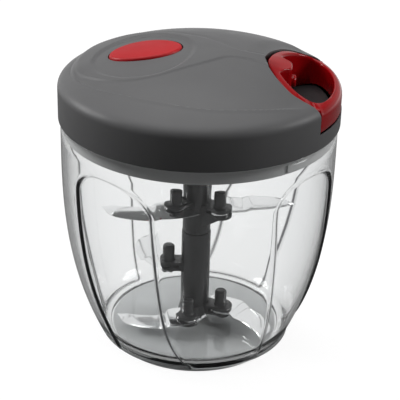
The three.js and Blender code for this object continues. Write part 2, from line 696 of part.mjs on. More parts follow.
function hexagon(radius, lowZ, highZ) {
  return disc(radius, lowZ, highZ, HEX_SIDES);
}

function makeLowerSpindle() {
  const blades = BLADES.filter((blade) => blade.unit === 'lower');
  const tube = turned([
    [0, COLUMN_FOOT_Z],
    [COLUMN_FOOT_RADIUS, COLUMN_FOOT_Z],
    [COLUMN_RADIUS, COLUMN_FOOT_Z + COLUMN_FOOT_HEIGHT],
    [COLUMN_RADIUS, SEAM_Z],
    [0, SEAM_Z],
  ], MEDIUM_SIDES);
  const spigot = hexagon(SPIGOT_RADIUS, SEAM_Z - OVERRUN, SEAM_Z + SPIGOT_HEIGHT);
  const body = join(tube, spigot, ...blades.map(bladeStation));
  const bore = disc(PIN_RADIUS + CLEARANCE, COLUMN_FOOT_Z - OVERRUN, PIN_BORE_TOP_Z, SMALL_SIDES);
  return cut(body, bore, ...blades.map(bladeSlot));
}

function makeUpperSpindle() {
  const blades = BLADES.filter((blade) => blade.unit === 'upper');
  const lowZ = SEAM_Z + CLEARANCE;
  const tube = disc(SLEEVE_RADIUS, lowZ, SLEEVE_TOP_Z);
  const head = turned([
    [0, SLEEVE_TOP_Z - OVERRUN],
    [HEAD_RADIUS, SLEEVE_TOP_Z - OVERRUN],
    [HEAD_RADIUS, HEAD_TOP_Z - HEAD_TAPER],
    [HEAD_RADIUS - HEAD_TAPER, HEAD_TOP_Z],
    [0, HEAD_TOP_Z],
  ], HEX_SIDES);
  const body = join(tube, head, ...blades.map(bladeStation));
  const socket = hexagon(SPIGOT_RADIUS + CLEARANCE, lowZ - OVERRUN, SEAM_Z + SPIGOT_HEIGHT + CLEARANCE);
  return cut(body, socket, ...blades.map(bladeSlot));
}

// Height of the lid's dome at a radius
function domeAt(radius) {
  return LID_CROWN_Z - DOME_DROP * (radius / LID_RADIUS) ** DOME_CURVE_SHARE;
}

// Solid under the lid's surface, drawn in at the skirt and lifted at the dome
function lidSolid(inset, lift, lowZ, rings = DOME_RINGS) {
  const radius = LID_RADIUS - inset;
  const rollRadius = radius - RIM_ROLL;
  const rollZ = domeAt(rollRadius) + lift;
  const roll = new THREE.QuadraticBezierCurve(
    new THREE.Vector2(radius, rollZ - RIM_ROLL_DEPTH),
    new THREE.Vector2(radius, rollZ - RIM_ROLL_DEPTH / 2.5),
    new THREE.Vector2(rollRadius, rollZ),
  ).getPoints(Math.min(RIM_ROLL_STEPS, rings)).map((point) => [point.x, point.y]);
  const dome = [];
  for (let i = rings - 1; i >= 0; i--) {
    const ringRadius = rollRadius * (i / rings);
    dome.push([ringRadius, domeAt(ringRadius) + lift]);
  }
  return turned([[0, lowZ], [radius, lowZ], ...roll, ...dome]);
}

// Layer of the lid between two depths below its surface
function domeLayer(low, high, rings = DOME_RINGS) {
  return cut(lidSolid(0, high, LID_EDGE_Z), lidSolid(0, low, LID_EDGE_Z - OVERRUN, rings));
}

// Outline of the handle and of what follows it: a nose towards the centre, a rim arc outside
function handleOutline(centreX, reach, halfWidth, rimHalfWidth, rimRadius) {
  const points = [];
  const rimAngle = Math.asin(rimHalfWidth / rimRadius);
  for (let i = 0; i <= HANDLE_STEPS / 2; i++) {
    const angle = THREE.MathUtils.lerp(-rimAngle, rimAngle, i / (HANDLE_STEPS / 2));
    points.push(new THREE.Vector2(rimRadius * Math.cos(angle), rimRadius * Math.sin(angle)));
  }
  for (let i = 0; i <= HANDLE_STEPS; i++) {
    const angle = Math.PI / 2 - Math.PI * (i / HANDLE_STEPS);
    const across = Math.sign(angle) * Math.abs(Math.sin(angle)) ** (2 / HANDLE_CURVE_SHARE);
    const inward = Math.abs(Math.cos(angle)) ** (2 / HANDLE_CURVE_SHARE);
    points.push(new THREE.Vector2(centreX - reach * inward, halfWidth * across));
  }
  return points;
}

// Outline of the pocket round the handle, widest at its mouth, so that the handle slides out
function pocketOutline(margin) {
  const mouthRadius = LID_RADIUS + OVERRUN;
  return handleOutline(HANDLE_CENTRE_X, HANDLE_REACH + margin, HANDLE_HALF_WIDTH + margin,
    mouthRadius * Math.sin(HANDLE_SPAN) + margin, mouthRadius);
}

const BOSS_LOW_Z = PLATE_TOP_Z + CLEARANCE;
const BOSS_PLACES = Array.from({ length: BOSS_COUNT }, (_, i) => {
  const step = BOSS_AZIMUTH + (i % 2 ? Math.PI - 2 * BOSS_AZIMUTH : 0);
  return polar(BOSS_ORBIT, step + (i > 1 ? Math.PI : 0));
});

function buttonOutline(margin) {
  return circleOutline(BUTTON_LENGTH + 2 * margin, BUTTON_WIDTH + 2 * margin, BUTTON_TURN,
    BUTTON_X, MEDIUM_SIDES);
}

function makeLidCover() {
  const aboveZ = LID_CROWN_Z + OVERRUN;
  const envelope = lidSolid(0, 0, LID_EDGE_Z);
  const shell = cut(envelope,
    lidSolid(SKIRT_WALL, -LID_WALL, LID_EDGE_Z - OVERRUN, DOME_RINGS_INSIDE));
  const skirtMiddle = LID_RADIUS - SKIRT_WALL / 2;
  const stop = ring(skirtMiddle - STOP_WIDTH, skirtMiddle, STOP_LOW_Z, STOP_TOP_Z);
  const pocketBlock = prism(pocketOutline(RUNNING_GAP + POCKET_WALL), STOP_LOW_Z, aboveZ);
  const buttonBlock = prism(buttonOutline(RUNNING_GAP + BUTTON_GUIDE_WALL),
    BUTTON_LIP_TOP_Z + CLEARANCE, aboveZ);
  const axleBoss = disc(AXLE_BOSS_RADIUS, AXLE_BOSS_LOW_Z, aboveZ, MEDIUM_SIDES);
  const bosses = BOSS_PLACES.map((place) =>
    disc(BOSS_RADIUS, BOSS_LOW_Z, aboveZ, SCREW_SIDES, place.x, place.y));
  const inner = join(pocketBlock, buttonBlock, axleBoss, ...bosses).intersect(envelope);
  const spine = prism(smoothOutline(SPINE_SHARES, LID_RADIUS, SPINE_POINTS), LID_EDGE_Z, aboveZ)
    .intersect(domeLayer(-LID_WALL / 2, SPINE_RISE, DOME_RINGS_INSIDE));
  const field = prism(smoothOutline(FIELD_SHARES, LID_RADIUS, FIELD_POINTS), LID_EDGE_Z, aboveZ)
    .intersect(domeLayer(-FIELD_DEPTH, OVERRUN));
  const body = join(cut(join(shell, stop, inner), field), spine);
  const pocket = prism(pocketOutline(RUNNING_GAP), POCKET_FLOOR_Z, aboveZ);
  const buttonHole = prism(buttonOutline(RUNNING_GAP), BUTTON_LIP_TOP_Z - OVERRUN, aboveZ);
  const axleHole = disc(AXLE_RADIUS + CLEARANCE, AXLE_BOSS_LOW_Z - OVERRUN,
    LID_CROWN_Z - LID_WALL, SMALL_SIDES);
  const screwHoles = BOSS_PLACES.map((place) => disc(SCREW_RADIUS + CLEARANCE, BOSS_LOW_Z - OVERRUN,
    BOSS_LOW_Z + BOSS_BORE_DEPTH, SCREW_SIDES, place.x, place.y));
  const cordHole = barX(GUIDE_RADIUS + CLEARANCE, GUIDE_START_X - OVERRUN, POCKET_NOSE_X + OVERRUN, CORD_Z);
  return cut(body, pocket, buttonHole, axleHole, ...screwHoles, cordHole);
}

function makeHandle() {
  const aboveZ = LID_CROWN_Z + OVERRUN;
  const rootX = FINGER_NOSE_X - HANDLE_BAR / 2;
  const tabX = FINGER_NOSE_X + TAB_LENGTH;
  const envelope = lidSolid(LID_RADIUS - HANDLE_RADIUS, HANDLE_RISE, HANDLE_LOW_Z);
  const block = prism(
    handleOutline(HANDLE_CENTRE_X, HANDLE_REACH, HANDLE_HALF_WIDTH, HANDLE_RIM_HALF_WIDTH, LID_RADIUS),
    HANDLE_LOW_Z,
    aboveZ,
  );
  const finger = prism(
    handleOutline(FINGER_CENTRE_X, FINGER_REACH, FINGER_HALF_WIDTH, FINGER_RIM_HALF_WIDTH, FINGER_RADIUS),
    HANDLE_LOW_Z - OVERRUN,
    aboveZ,
  );
  const tongue = new THREE.Shape();
  tongue.moveTo(rootX, -TAB_RADIUS);
  tongue.lineTo(tabX, -TAB_RADIUS);
  tongue.absarc(tabX, 0, TAB_RADIUS, -Math.PI / 2, Math.PI / 2, false);
  tongue.lineTo(rootX, TAB_RADIUS);
  const tab = prism(tongue.getPoints(4), LID_CROWN_Z - TAB_DEPTH, aboveZ);
  const bossOutline = new THREE.Shape([
    new THREE.Vector2(rootX, -KNOT_BOSS_HALF_WIDTH),
    new THREE.Vector2(KNOT_BOSS_END_X, -KNOT_BOSS_HALF_WIDTH),
    new THREE.Vector2(KNOT_BOSS_END_X, KNOT_BOSS_HALF_WIDTH),
    new THREE.Vector2(rootX, KNOT_BOSS_HALF_WIDTH),
  ]);
  const boss = prism(bossOutline.getPoints(), CORD_Z - KNOT_BOSS_HALF_HEIGHT,
    CORD_Z + KNOT_BOSS_HALF_HEIGHT);
  const cordWay = barX(CORD_RADIUS + RUNNING_GAP, POCKET_NOSE_X - OVERRUN, KNOT_BOSS_END_X + OVERRUN, CORD_Z);
  const knotSeat = barX(KNOT_RADIUS + RUNNING_GAP, KNOT_BOSS_END_X - KNOT_LENGTH,
    KNOT_BOSS_END_X + OVERRUN, CORD_Z);
  return cut(join(cut(block, finger), tab, boss).intersect(envelope), cordWay, knotSeat);
}

function makeLidBase() {
  const boreRadius = SOCKET_RADIUS + RUNNING_GAP;
  const wallInside = PLUG_RADIUS - PLUG_WALL;
  const body = turned([
    [boreRadius, PLATE_Z],
    [wallInside, PLATE_Z],
    [wallInside, PLUG_EDGE_Z],
    [PLUG_RADIUS, PLUG_EDGE_Z],
    [PLUG_RADIUS, GROOVE_LOW_Z],
    [PLUG_RADIUS - GROOVE_DEPTH, GROOVE_LOW_Z],
    [PLUG_RADIUS - GROOVE_DEPTH, GROOVE_LOW_Z + GROOVE_HEIGHT],
    [PLUG_RADIUS, GROOVE_LOW_Z + GROOVE_HEIGHT],
    [PLUG_RADIUS, PLUG_TOP_Z],
    [wallInside, PLUG_TOP_Z],
    [wallInside, PLATE_TOP_Z],
    [COLLAR_RADIUS, PLATE_TOP_Z],
    [COLLAR_RADIUS, COLLAR_TOP_Z],
    [boreRadius, COLLAR_TOP_Z],
    [boreRadius, PLATE_Z],
  ]);
  const ventTube = disc(VENT_BORE + VENT_TUBE_WALL, PLATE_Z, VENT_TUBE_TOP_Z, SMALL_SIDES, BUTTON_X);
  const lugs = Array.from({ length: LUG_COUNT }, (_, i) => {
    const outer = PLUG_RADIUS + LUG_RISE;
    const lug = new THREE.BoxGeometry(outer - wallInside, LUG_WIDTH, LUG_HEIGHT)
      .translate((outer + wallInside) / 2, 0, (PLUG_EDGE_Z + GROOVE_LOW_Z) / 2);
    return solidOf(lug.rotateZ(LUG_AZIMUTH + (i / LUG_COUNT) * 2 * Math.PI));
  });
  const ventHole = disc(VENT_BORE, PLATE_Z - OVERRUN, VENT_TUBE_TOP_Z + OVERRUN, SMALL_SIDES, BUTTON_X);
  const screwHoles = BOSS_PLACES.map((place) => disc(SCREW_RADIUS + CLEARANCE, PLATE_Z - OVERRUN,
    PLATE_TOP_Z + OVERRUN, SCREW_SIDES, place.x, place.y));
  return cut(join(body, ventTube, ...lugs), ventHole, ...screwHoles);
}

function makeSeal() {
  const inner = PLUG_RADIUS - GROOVE_DEPTH + CLEARANCE;
  const lowZ = GROOVE_LOW_Z + CLEARANCE;
  const highZ = GROOVE_LOW_Z + GROOVE_HEIGHT - CLEARANCE;
  return turned([
    [inner, lowZ],
    [SEAL_RADIUS - SEAL_LIP, lowZ],
    [SEAL_RADIUS, (lowZ + highZ) / 2],
    [SEAL_RADIUS - SEAL_LIP, highZ],
    [inner, highZ],
    [inner, lowZ],
  ]);
}

// Screw standing on its head, with its seat at the origin
function makeScrew() {
  const body = turned([
    [0, -SCREW_HEAD_HEIGHT],
    [SCREW_HEAD_RADIUS - SCREW_HEAD_ROUND, -SCREW_HEAD_HEIGHT],
    [SCREW_HEAD_RADIUS, SCREW_HEAD_ROUND - SCREW_HEAD_HEIGHT],
    [SCREW_HEAD_RADIUS, 0],
    [SCREW_RADIUS, 0],
    [SCREW_RADIUS, SCREW_LENGTH - SCREW_RADIUS],
    [0, SCREW_LENGTH],
  ], SCREW_SIDES);
  const slot = new THREE.BoxGeometry(SCREW_HEAD_RADIUS, SCREW_SLOT, SCREW_SLOT * 2);
  const cross = slot.clone().rotateZ(Math.PI / 2);
  return cut(body, solidOf(slot.translate(0, 0, -SCREW_HEAD_HEIGHT)),
    solidOf(cross.translate(0, 0, -SCREW_HEAD_HEIGHT)));
}

function makeReel() {
  const rebateZ = REEL_TOP_Z - CAP_THICKNESS / 2;
  const body = turned([
    [0, SOCKET_LOW_Z],
    [SOCKET_RADIUS, SOCKET_LOW_Z],
    [SOCKET_RADIUS, REEL_LOW_Z],
    [FLANGE_RADIUS, REEL_LOW_Z],
    [FLANGE_RADIUS, DRUM_LOW_Z],
    [DRUM_RADIUS, DRUM_LOW_Z],
    [DRUM_RADIUS, REEL_TOP_Z - FLANGE_THICKNESS],
    [FLANGE_RADIUS, REEL_TOP_Z - FLANGE_THICKNESS],
    [FLANGE_RADIUS, REEL_TOP_Z],
    [CAP_RADIUS + CLEARANCE, REEL_TOP_Z],
    [CAP_RADIUS + CLEARANCE, rebateZ],
    [CUP_RADIUS, rebateZ],
    [CUP_RADIUS, CUP_FLOOR_Z],
    [0, CUP_FLOOR_Z],
  ], MEDIUM_SIDES);
  const bearing = disc(AXLE_RADIUS + CLEARANCE, DRUM_LOW_Z, CUP_FLOOR_Z + OVERRUN, SMALL_SIDES);
  const socket = hexagon(HEAD_RADIUS + CLEARANCE, SOCKET_LOW_Z - OVERRUN, HEAD_TOP_Z + SOCKET_HEADROOM);
  return cut(body, bearing, socket);
}

function makeReelCap() {
  const lowZ = REEL_TOP_Z - CAP_THICKNESS / 2 + CLEARANCE;
  return ring(AXLE_SHOULDER_RADIUS + CLEARANCE, CAP_RADIUS, lowZ, lowZ + CAP_THICKNESS, MEDIUM_SIDES);
}

function makeAxle() {
  return turned([
    [0, DRUM_LOW_Z + CLEARANCE],
    [AXLE_RADIUS, DRUM_LOW_Z + CLEARANCE],
    [AXLE_RADIUS, REEL_TOP_Z - FLANGE_THICKNESS],
    [AXLE_SHOULDER_RADIUS, REEL_TOP_Z - FLANGE_THICKNESS],
    [AXLE_SHOULDER_RADIUS, AXLE_BOSS_LOW_Z - CLEARANCE],
    [AXLE_RADIUS, AXLE_BOSS_LOW_Z - CLEARANCE],
    [AXLE_RADIUS, LID_CROWN_Z - LID_WALL - CLEARANCE],
    [0, LID_CROWN_Z - LID_WALL - CLEARANCE],
  ], SMALL_SIDES);
}

function makeReelSpring() {
  const midZ = CUP_FLOOR_Z + CLEARANCE + STRIP_HEIGHT / 2;
  const count = STRIP_TURNS * STRIP_STEPS;
  const points = Array.from({ length: count + 1 }, (_, i) => {
    const turns = i / STRIP_STEPS;
    return polar(STRIP_START + turns * STRIP_PITCH, turns * 2 * Math.PI, midZ);
  });
  console.log('reel spring gap', gapToItself(points, STRIP_STEPS, STRIP_THICKNESS).toFixed(2), 'mm');
  const side = STRIP_THICKNESS / 2;
  const rise = STRIP_HEIGHT / 2;
  return sweep(points, [[side, -rise], [side, rise], [-side, rise], [-side, -rise]]);
}

function makeCordWinding() {
  const count = Math.round(CORD_TURNS * CORD_STEPS);
  const points = Array.from({ length: count + 1 }, (_, i) => {
    const turnsLeft = CORD_TURNS * (1 - i / count);
    const angle = LEAVING_ANGLE - turnsLeft * 2 * Math.PI;
    return polar(WINDING_RADIUS, angle, CORD_Z - turnsLeft * CORD_PITCH);
  });
  const straight = points[count].clone().sub(points[count - 1]).setZ(0).setLength(CORD_RADIUS * 2);
  points.push(points[count].clone().add(straight));
  console.log('cord winding gap', gapToItself(points, CORD_STEPS, CORD_RADIUS * 2).toFixed(2), 'mm');
  return sweep(points, roundSection(CORD_RADIUS, CORD_SIDES));
}

// Straight run of the cord from the drum to the guide
function makeCordLead() {
  const leaving = polar(WINDING_RADIUS, LEAVING_ANGLE, CORD_Z);
  const guide = new THREE.Vector3(LEAD_END_X, 0, CORD_Z);
  const along = guide.clone().sub(leaving).normalize();
  const start = leaving.addScaledVector(along, CORD_RADIUS * 2 + CLEARANCE);
  const end = guide.addScaledVector(along, -CORD_RADIUS);
  return sweep([start, end], roundSection(CORD_RADIUS, LEAD_SIDES));
}

// End of the cord, through the guide to its knot in the handle
function makeCordEnd() {
  const knotStart = KNOT_BOSS_END_X - KNOT_LENGTH + CLEARANCE;
  const lengthwise = new THREE.LatheGeometry([
    new THREE.Vector2(0, GUIDE_START_X),
    new THREE.Vector2(CORD_RADIUS, GUIDE_START_X),
    new THREE.Vector2(CORD_RADIUS, knotStart),
    new THREE.Vector2(KNOT_RADIUS, knotStart + KNOT_LENGTH / 4),
    new THREE.Vector2(KNOT_RADIUS, knotStart + KNOT_LENGTH * 0.75),
    new THREE.Vector2(CORD_RADIUS, knotStart + KNOT_LENGTH),
    new THREE.Vector2(0, knotStart + KNOT_LENGTH),
  ], LEAD_SIDES);
  return solidOf(lengthwise.rotateZ(-Math.PI / 2).translate(0, 0, CORD_Z));
}

function makeCordGuide() {
  const flangeEndX = GUIDE_START_X + GUIDE_FLANGE;
  const lengthwise = new THREE.LatheGeometry([
    new THREE.Vector2(GUIDE_BORE, GUIDE_START_X),
    new THREE.Vector2(GUIDE_FLANGE_RADIUS, GUIDE_START_X),
    new THREE.Vector2(GUIDE_FLANGE_RADIUS, flangeEndX),
    new THREE.Vector2(GUIDE_RADIUS, flangeEndX),
    new THREE.Vector2(GUIDE_RADIUS, POCKET_NOSE_X),
    new THREE.Vector2(GUIDE_BORE, POCKET_NOSE_X),
    new THREE.Vector2(GUIDE_BORE, GUIDE_START_X),
  ], SMALL_SIDES);
  return solidOf(lengthwise.rotateZ(-Math.PI / 2).translate(0, 0, CORD_Z));
}

function makeButton() {
  const lipLowZ = BUTTON_LIP_TOP_Z - BUTTON_LIP_HEIGHT;
  const block = prism(buttonOutline(0), lipLowZ, LID_CROWN_Z + OVERRUN)
    .intersect(lidSolid(0, BUTTON_RISE, LID_EDGE_Z));
  const lip = prism(buttonOutline(BUTTON_LIP), lipLowZ, BUTTON_LIP_TOP_Z);
  const hollow = prism(buttonOutline(-BUTTON_WALL), lipLowZ - OVERRUN, BUTTON_CEILING_Z);
  const stem = disc(BUTTON_STEM_RADIUS, STEM_LOW_Z, BUTTON_CEILING_Z + BUTTON_WALL / 2, SMALL_SIDES, BUTTON_X);
  const barb = disc(BUTTON_STEM_RADIUS + STEM_BARB, STEM_LOW_Z - STEM_BARB_HEIGHT, STEM_LOW_Z,
    SMALL_SIDES, BUTTON_X);
  return join(cut(join(block, lip), hollow), stem, barb);
}

function makeValve() {
  const lowZ = PLATE_Z - CLEARANCE - VALVE_THICKNESS;
  return ring(BUTTON_STEM_RADIUS + CLEARANCE, VALVE_RADIUS, lowZ, PLATE_Z - CLEARANCE, SMALL_SIDES);
}

function makeButtonSpring() {
  const lowZ = VENT_TUBE_TOP_Z + CLEARANCE + COIL_WIRE_RADIUS;
  const highZ = BUTTON_CEILING_Z - CLEARANCE - COIL_WIRE_RADIUS;
  const count = COIL_TURNS * COIL_STEPS;
  const points = Array.from({ length: count + 1 }, (_, i) => {
    const share = i / count;
    return polar(COIL_RADIUS, share * COIL_TURNS * 2 * Math.PI, THREE.MathUtils.lerp(lowZ, highZ, share));
  });
  console.log('button spring gap', gapToItself(points, COIL_STEPS, COIL_WIRE_RADIUS * 2).toFixed(2), 'mm');
  return sweep(points, roundSection(COIL_WIRE_RADIUS, COIL_SIDES));
}

function finish(color, roughness, metalness, opacity = 1) {
  return new THREE.MeshStandardMaterial({
    color, roughness, metalness, opacity, transparent: opacity < 1,
  });
}

const clearPlastic = () => finish(0xf2f5f6, 0.08, 0, 0.35);
const greyPlastic = () => finish(0x6b6b6b, 0.45, 0);
const darkPlastic = () => finish(0x4a4a4c, 0.4, 0);
const redPlastic = () => finish(0xb31420, 0.2, 0);
const blackNylon = () => finish(0x2a2a2c, 0.5, 0);
const steel = () => finish(0xc9ccd0, 0.22, 1);
const springSteel = () => finish(0x9a9da2, 0.35, 1);
const greyRubber = () => finish(0x7d7f80, 0.85, 0);
const cordFibre = () => finish(0xe4e2dc, 0.9, 0);

// Named mesh of a solid or of a plain geometry
function piece(name, form, material) {
  const geometry = form.isBufferGeometry ? toCreasedNormals(form, CREASE) : geometryOf(form);
  const mesh = new THREE.Mesh(geometry, material);
  mesh.name = name;
  return mesh;
}

const bowlGroup = new THREE.Group();
bowlGroup.add(
  piece('bowl', makeBowl(), clearPlastic()),
  piece('non_slip_foot', makeFoot(), greyRubber()),
  piece('spindle_pin', makePin(), steel()),
);

const bladeGroup = new THREE.Group();
bladeGroup.add(
  piece('lower_spindle', makeLowerSpindle(), darkPlastic()),
  piece('upper_spindle', makeUpperSpindle(), darkPlastic()),
  ...BLADES.map((blade) => piece(blade.name, makeBlade(blade), steel())),
);

const handleGroup = new THREE.Group();
handleGroup.add(
  piece('handle_ring', makeHandle(), redPlastic()),
  piece('cord_end', makeCordEnd(), cordFibre()),
);

const reelGroup = new THREE.Group();
reelGroup.add(
  piece('reel', makeReel(), blackNylon()),
  piece('reel_cap', makeReelCap(), blackNylon()),
  piece('cord_winding', makeCordWinding(), cordFibre()),
);

const buttonGroup = new THREE.Group();
const valve = piece('vent_valve', makeValve(), greyRubber());
const buttonSpring = piece('button_spring', makeButtonSpring(), springSteel());
valve.position.x = BUTTON_X;
buttonSpring.position.x = BUTTON_X;
buttonGroup.add(piece('vent_button', makeButton(), redPlastic()), valve);

const lidGroup = new THREE.Group();
lidGroup.add(
  piece('lid_cover', makeLidCover(), greyPlastic()),
  piece('lid_base', makeLidBase(), greyPlastic()),
  piece('lid_seal', makeSeal(), greyRubber()),
  piece('reel_axle', makeAxle(), steel()),
  piece('reel_spring', makeReelSpring(), springSteel()),
  piece('cord_lead', makeCordLead(), cordFibre()),
  piece('cord_guide', makeCordGuide(), blackNylon()),
  buttonSpring,
  handleGroup,
  reelGroup,
  buttonGroup,
);
BOSS_PLACES.forEach((place, i) => {
  const screw = piece(`lid_screw_${i + 1}`, makeScrew(), steel());
  screw.position.set(place.x, place.y, PLATE_Z - CLEARANCE);
  lidGroup.add(screw);
});

const chopper = new THREE.Group();
chopper.add(bowlGroup, bladeGroup, lidGroup);

export default chopper;
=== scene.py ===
from math import asin, atan2, cos, pi, radians, sin, sqrt

import bmesh
import bpy
import numpy as np
from mathutils import Matrix, Vector


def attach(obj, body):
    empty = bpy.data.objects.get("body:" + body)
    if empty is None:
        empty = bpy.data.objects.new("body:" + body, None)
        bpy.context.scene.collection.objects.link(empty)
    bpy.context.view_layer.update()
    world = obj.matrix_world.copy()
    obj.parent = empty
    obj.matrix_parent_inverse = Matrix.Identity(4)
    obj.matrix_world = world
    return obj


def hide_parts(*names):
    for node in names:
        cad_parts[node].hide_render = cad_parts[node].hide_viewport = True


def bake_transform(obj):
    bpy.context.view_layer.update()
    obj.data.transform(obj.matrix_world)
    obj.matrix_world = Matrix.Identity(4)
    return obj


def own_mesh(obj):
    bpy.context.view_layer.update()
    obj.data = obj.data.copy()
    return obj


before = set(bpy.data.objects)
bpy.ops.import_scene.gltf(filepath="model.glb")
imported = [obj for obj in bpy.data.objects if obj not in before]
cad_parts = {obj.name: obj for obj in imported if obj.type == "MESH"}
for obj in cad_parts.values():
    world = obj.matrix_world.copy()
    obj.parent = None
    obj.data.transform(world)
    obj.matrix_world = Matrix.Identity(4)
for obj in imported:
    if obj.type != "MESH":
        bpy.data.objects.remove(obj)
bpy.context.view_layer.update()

# Lengths are in millimetres and become metres when a mesh is made
MM = 0.001

# Bowl
BOWL_RADIUS = 64.0
BOWL_BASE_RADIUS = 45.2
BOWL_BASE_Z = 3.0
BELLY_TOP_Z = 100.0
BELLY_CURVE = 2.6
BOWL_WALL = 2.6
FLOOR_Z = 8.0
SHOULDER_Z = 113.9
RIM_Z = 119.1
NECK_RADIUS = 62.3
NECK_BORE = 60.4

# Lid
LID_RADIUS = 65.0
LID_CROWN_Z = 145.4
LID_EDGE_Z = 114.3
LID_WALL = 2.2
SKIRT_WALL = 1.6
DOME_DROP = 13.6
DOME_CURVE = 2.8
POCKET_FLOOR_Z = 121.5
PLATE_Z = 110.5

# Handle, cord and button
HANDLE_LOW_Z = 122.0
CORD_Z = 128.5
CORD_RADIUS = 0.8
GUIDE_X = 24.9
BUTTON_X = -25.2
BUTTON_LENGTH = 33.4
BUTTON_WIDTH = 24.2
BUTTON_TURN = radians(16)
BUTTON_GAP = 0.5
BUTTON_LIP = 1.2

# Spindle
COLUMN_RADIUS = 7.0
COLUMN_FOOT_Z = 11.1
SEAM_Z = 55.0
SLEEVE_RADIUS = 6.7
SLEEVE_TOP_Z = 103.0
HEAD_RADIUS = 5.4
HEAD_TOP_Z = 113.4


# Camera, floor and lamps: lengths in metres and angles in degrees

SENSOR = 36
LENS = 113.84
SHIFT = 0.0073
CAMERA_PLACE = (0.0473, -0.5411, 0.3335)
CAMERA_TURN = 5
CAMERA_DOWN = 25.842
CAMERA_ROLL = 1.483
LAMPS_AIM = (0, 0, 0.1)
LAMPS = {
    "overhead": dict(place=(-0.15, 0.12, 1.35), size=1.6, power=15.5),
    "left_window": dict(place=(-1.1, 0.15, 0.7), size=0.6, power=10),
    "right_window": dict(place=(1.1, 0.1, 0.6), size=0.6, power=6.6),
}
FILL_LIGHT = 0.07
WHITE = (1, 1, 1)
HALF_GREY = (0.5, 0.5, 0.5)
DIM_GREY = (0.1, 0.1, 0.103)
FLOOR_REACH = 3
FLOOR_GREY = (0.14, 0.14, 0.14)
FLOOR_SEEN = 0.9
FLOOR_IN_BOWL = 0.3


def set_camera():
    data = bpy.data.cameras.new("camera")
    data.sensor_width = SENSOR
    data.lens = LENS
    data.shift_x = SHIFT
    data.clip_start = 0.01
    camera = bpy.data.objects.new("camera", data)
    bpy.context.scene.collection.objects.link(camera)
    camera.matrix_world = (
        Matrix.Translation(CAMERA_PLACE)
        @ Matrix.Rotation(radians(CAMERA_TURN), 4, "Z")
        @ Matrix.Rotation(radians(90 - CAMERA_DOWN), 4, "X")
        @ Matrix.Rotation(radians(CAMERA_ROLL), 4, "Z")
    )
    bpy.context.scene.camera = camera


def hang_lamps():
    for name, given in LAMPS.items():
        data = bpy.data.lights.new(name, "AREA")
        data.shape = "DISK"
        data.size = given["size"]
        data.energy = given["power"]
        light = bpy.data.objects.new(name, data)
        bpy.context.scene.collection.objects.link(light)
        way = Vector(LAMPS_AIM) - Vector(given["place"])
        turn = way.to_track_quat("-Z", "Y").to_matrix().to_4x4()
        light.matrix_world = Matrix.Translation(given["place"]) @ turn


def combine(nodes, links, operation, first, second):
    """Sum, product, larger or smaller of two values; either may be a plain number."""
    node = nodes.new("ShaderNodeMath")
    node.operation = operation
    for socket, value in zip(node.inputs, (first, second)):
        if isinstance(value, (int, float)):
            socket.default_value = value
        else:
            links.new(value, socket)
    return node.outputs[0]


def ray_kinds(nodes, links):
    """Shares of rays that see the backdrop: straight, or off a gloss in the bowl or in the open."""
    path = nodes.new("ShaderNodeLightPath").outputs
    glossy = combine(nodes, links, "MINIMUM", path["Glossy Depth"], 1.0)
    not_glossy = combine(nodes, links, "SUBTRACT", 1.0, glossy)
    through = combine(nodes, links, "MAXIMUM", path["Is Camera Ray"], path["Is Transmission Ray"])
    bounced = combine(nodes, links, "MAXIMUM", path["Is Glossy Ray"], path["Is Transmission Ray"])
    inside = combine(nodes, links, "MINIMUM", path["Transmission Depth"], 1.0)
    reflected = combine(nodes, links, "MULTIPLY", glossy, bounced)
    in_bowl = combine(nodes, links, "MULTIPLY", reflected, inside)
    return {
        "camera": path["Is Camera Ray"],
        "direct": combine(nodes, links, "MULTIPLY", through, not_glossy),
        "reflected": reflected,
        "in_bowl": in_bowl,
        "in_open": combine(nodes, links, "SUBTRACT", reflected, in_bowl),
    }


def set_backdrop():
    """White to the camera and through the bowl; gloss sees it dim in front and, in the open, dim overhead."""
    bpy.context.scene.view_settings.view_transform = "Standard"
    world = bpy.data.worlds.new("studio")
    bpy.context.scene.world = world
    world.use_nodes = True
    nodes, links = world.node_tree.nodes, world.node_tree.links
    nodes.clear()
    rays = ray_kinds(nodes, links)
    way = nodes.new("ShaderNodeTexCoord")
    parts = nodes.new("ShaderNodeSeparateXYZ")
    links.new(way.outputs["Generated"], parts.inputs[0])
    overhead = ramp(nodes, links, parts.outputs["Z"], HALF_GREY, DIM_GREY, 0.2, 0.7)
    forward = combine(nodes, links, "ADD", parts.outputs["Y"], 0.5)
    front = ramp(nodes, links, forward, DIM_GREY, WHITE, 0.05, 0.9)
    tone = mixed(nodes, links, rays["reflected"], (*WHITE, 1), front)
    shade = mixed(nodes, links, rays["in_open"], (*WHITE, 1), overhead)
    dimmed = mixed(nodes, links, 1.0, shade, tone, "MULTIPLY")
    seen = nodes.new("ShaderNodeBackground")
    links.new(mixed(nodes, links, rays["camera"], dimmed, (*WHITE, 1)), seen.inputs["Color"])
    lit = nodes.new("ShaderNodeBackground")
    lit.inputs["Color"].default_value = (*WHITE, 1)
    lit.inputs["Strength"].default_value = FILL_LIGHT
    mix = nodes.new("ShaderNodeMixShader")
    out = nodes.new("ShaderNodeOutputWorld")
    links.new(combine(nodes, links, "MAXIMUM", rays["direct"], rays["reflected"]), mix.inputs[0])
    links.new(lit.outputs[0], mix.inputs[1])
    links.new(seen.outputs[0], mix.inputs[2])
    links.new(mix.outputs[0], out.inputs[0])


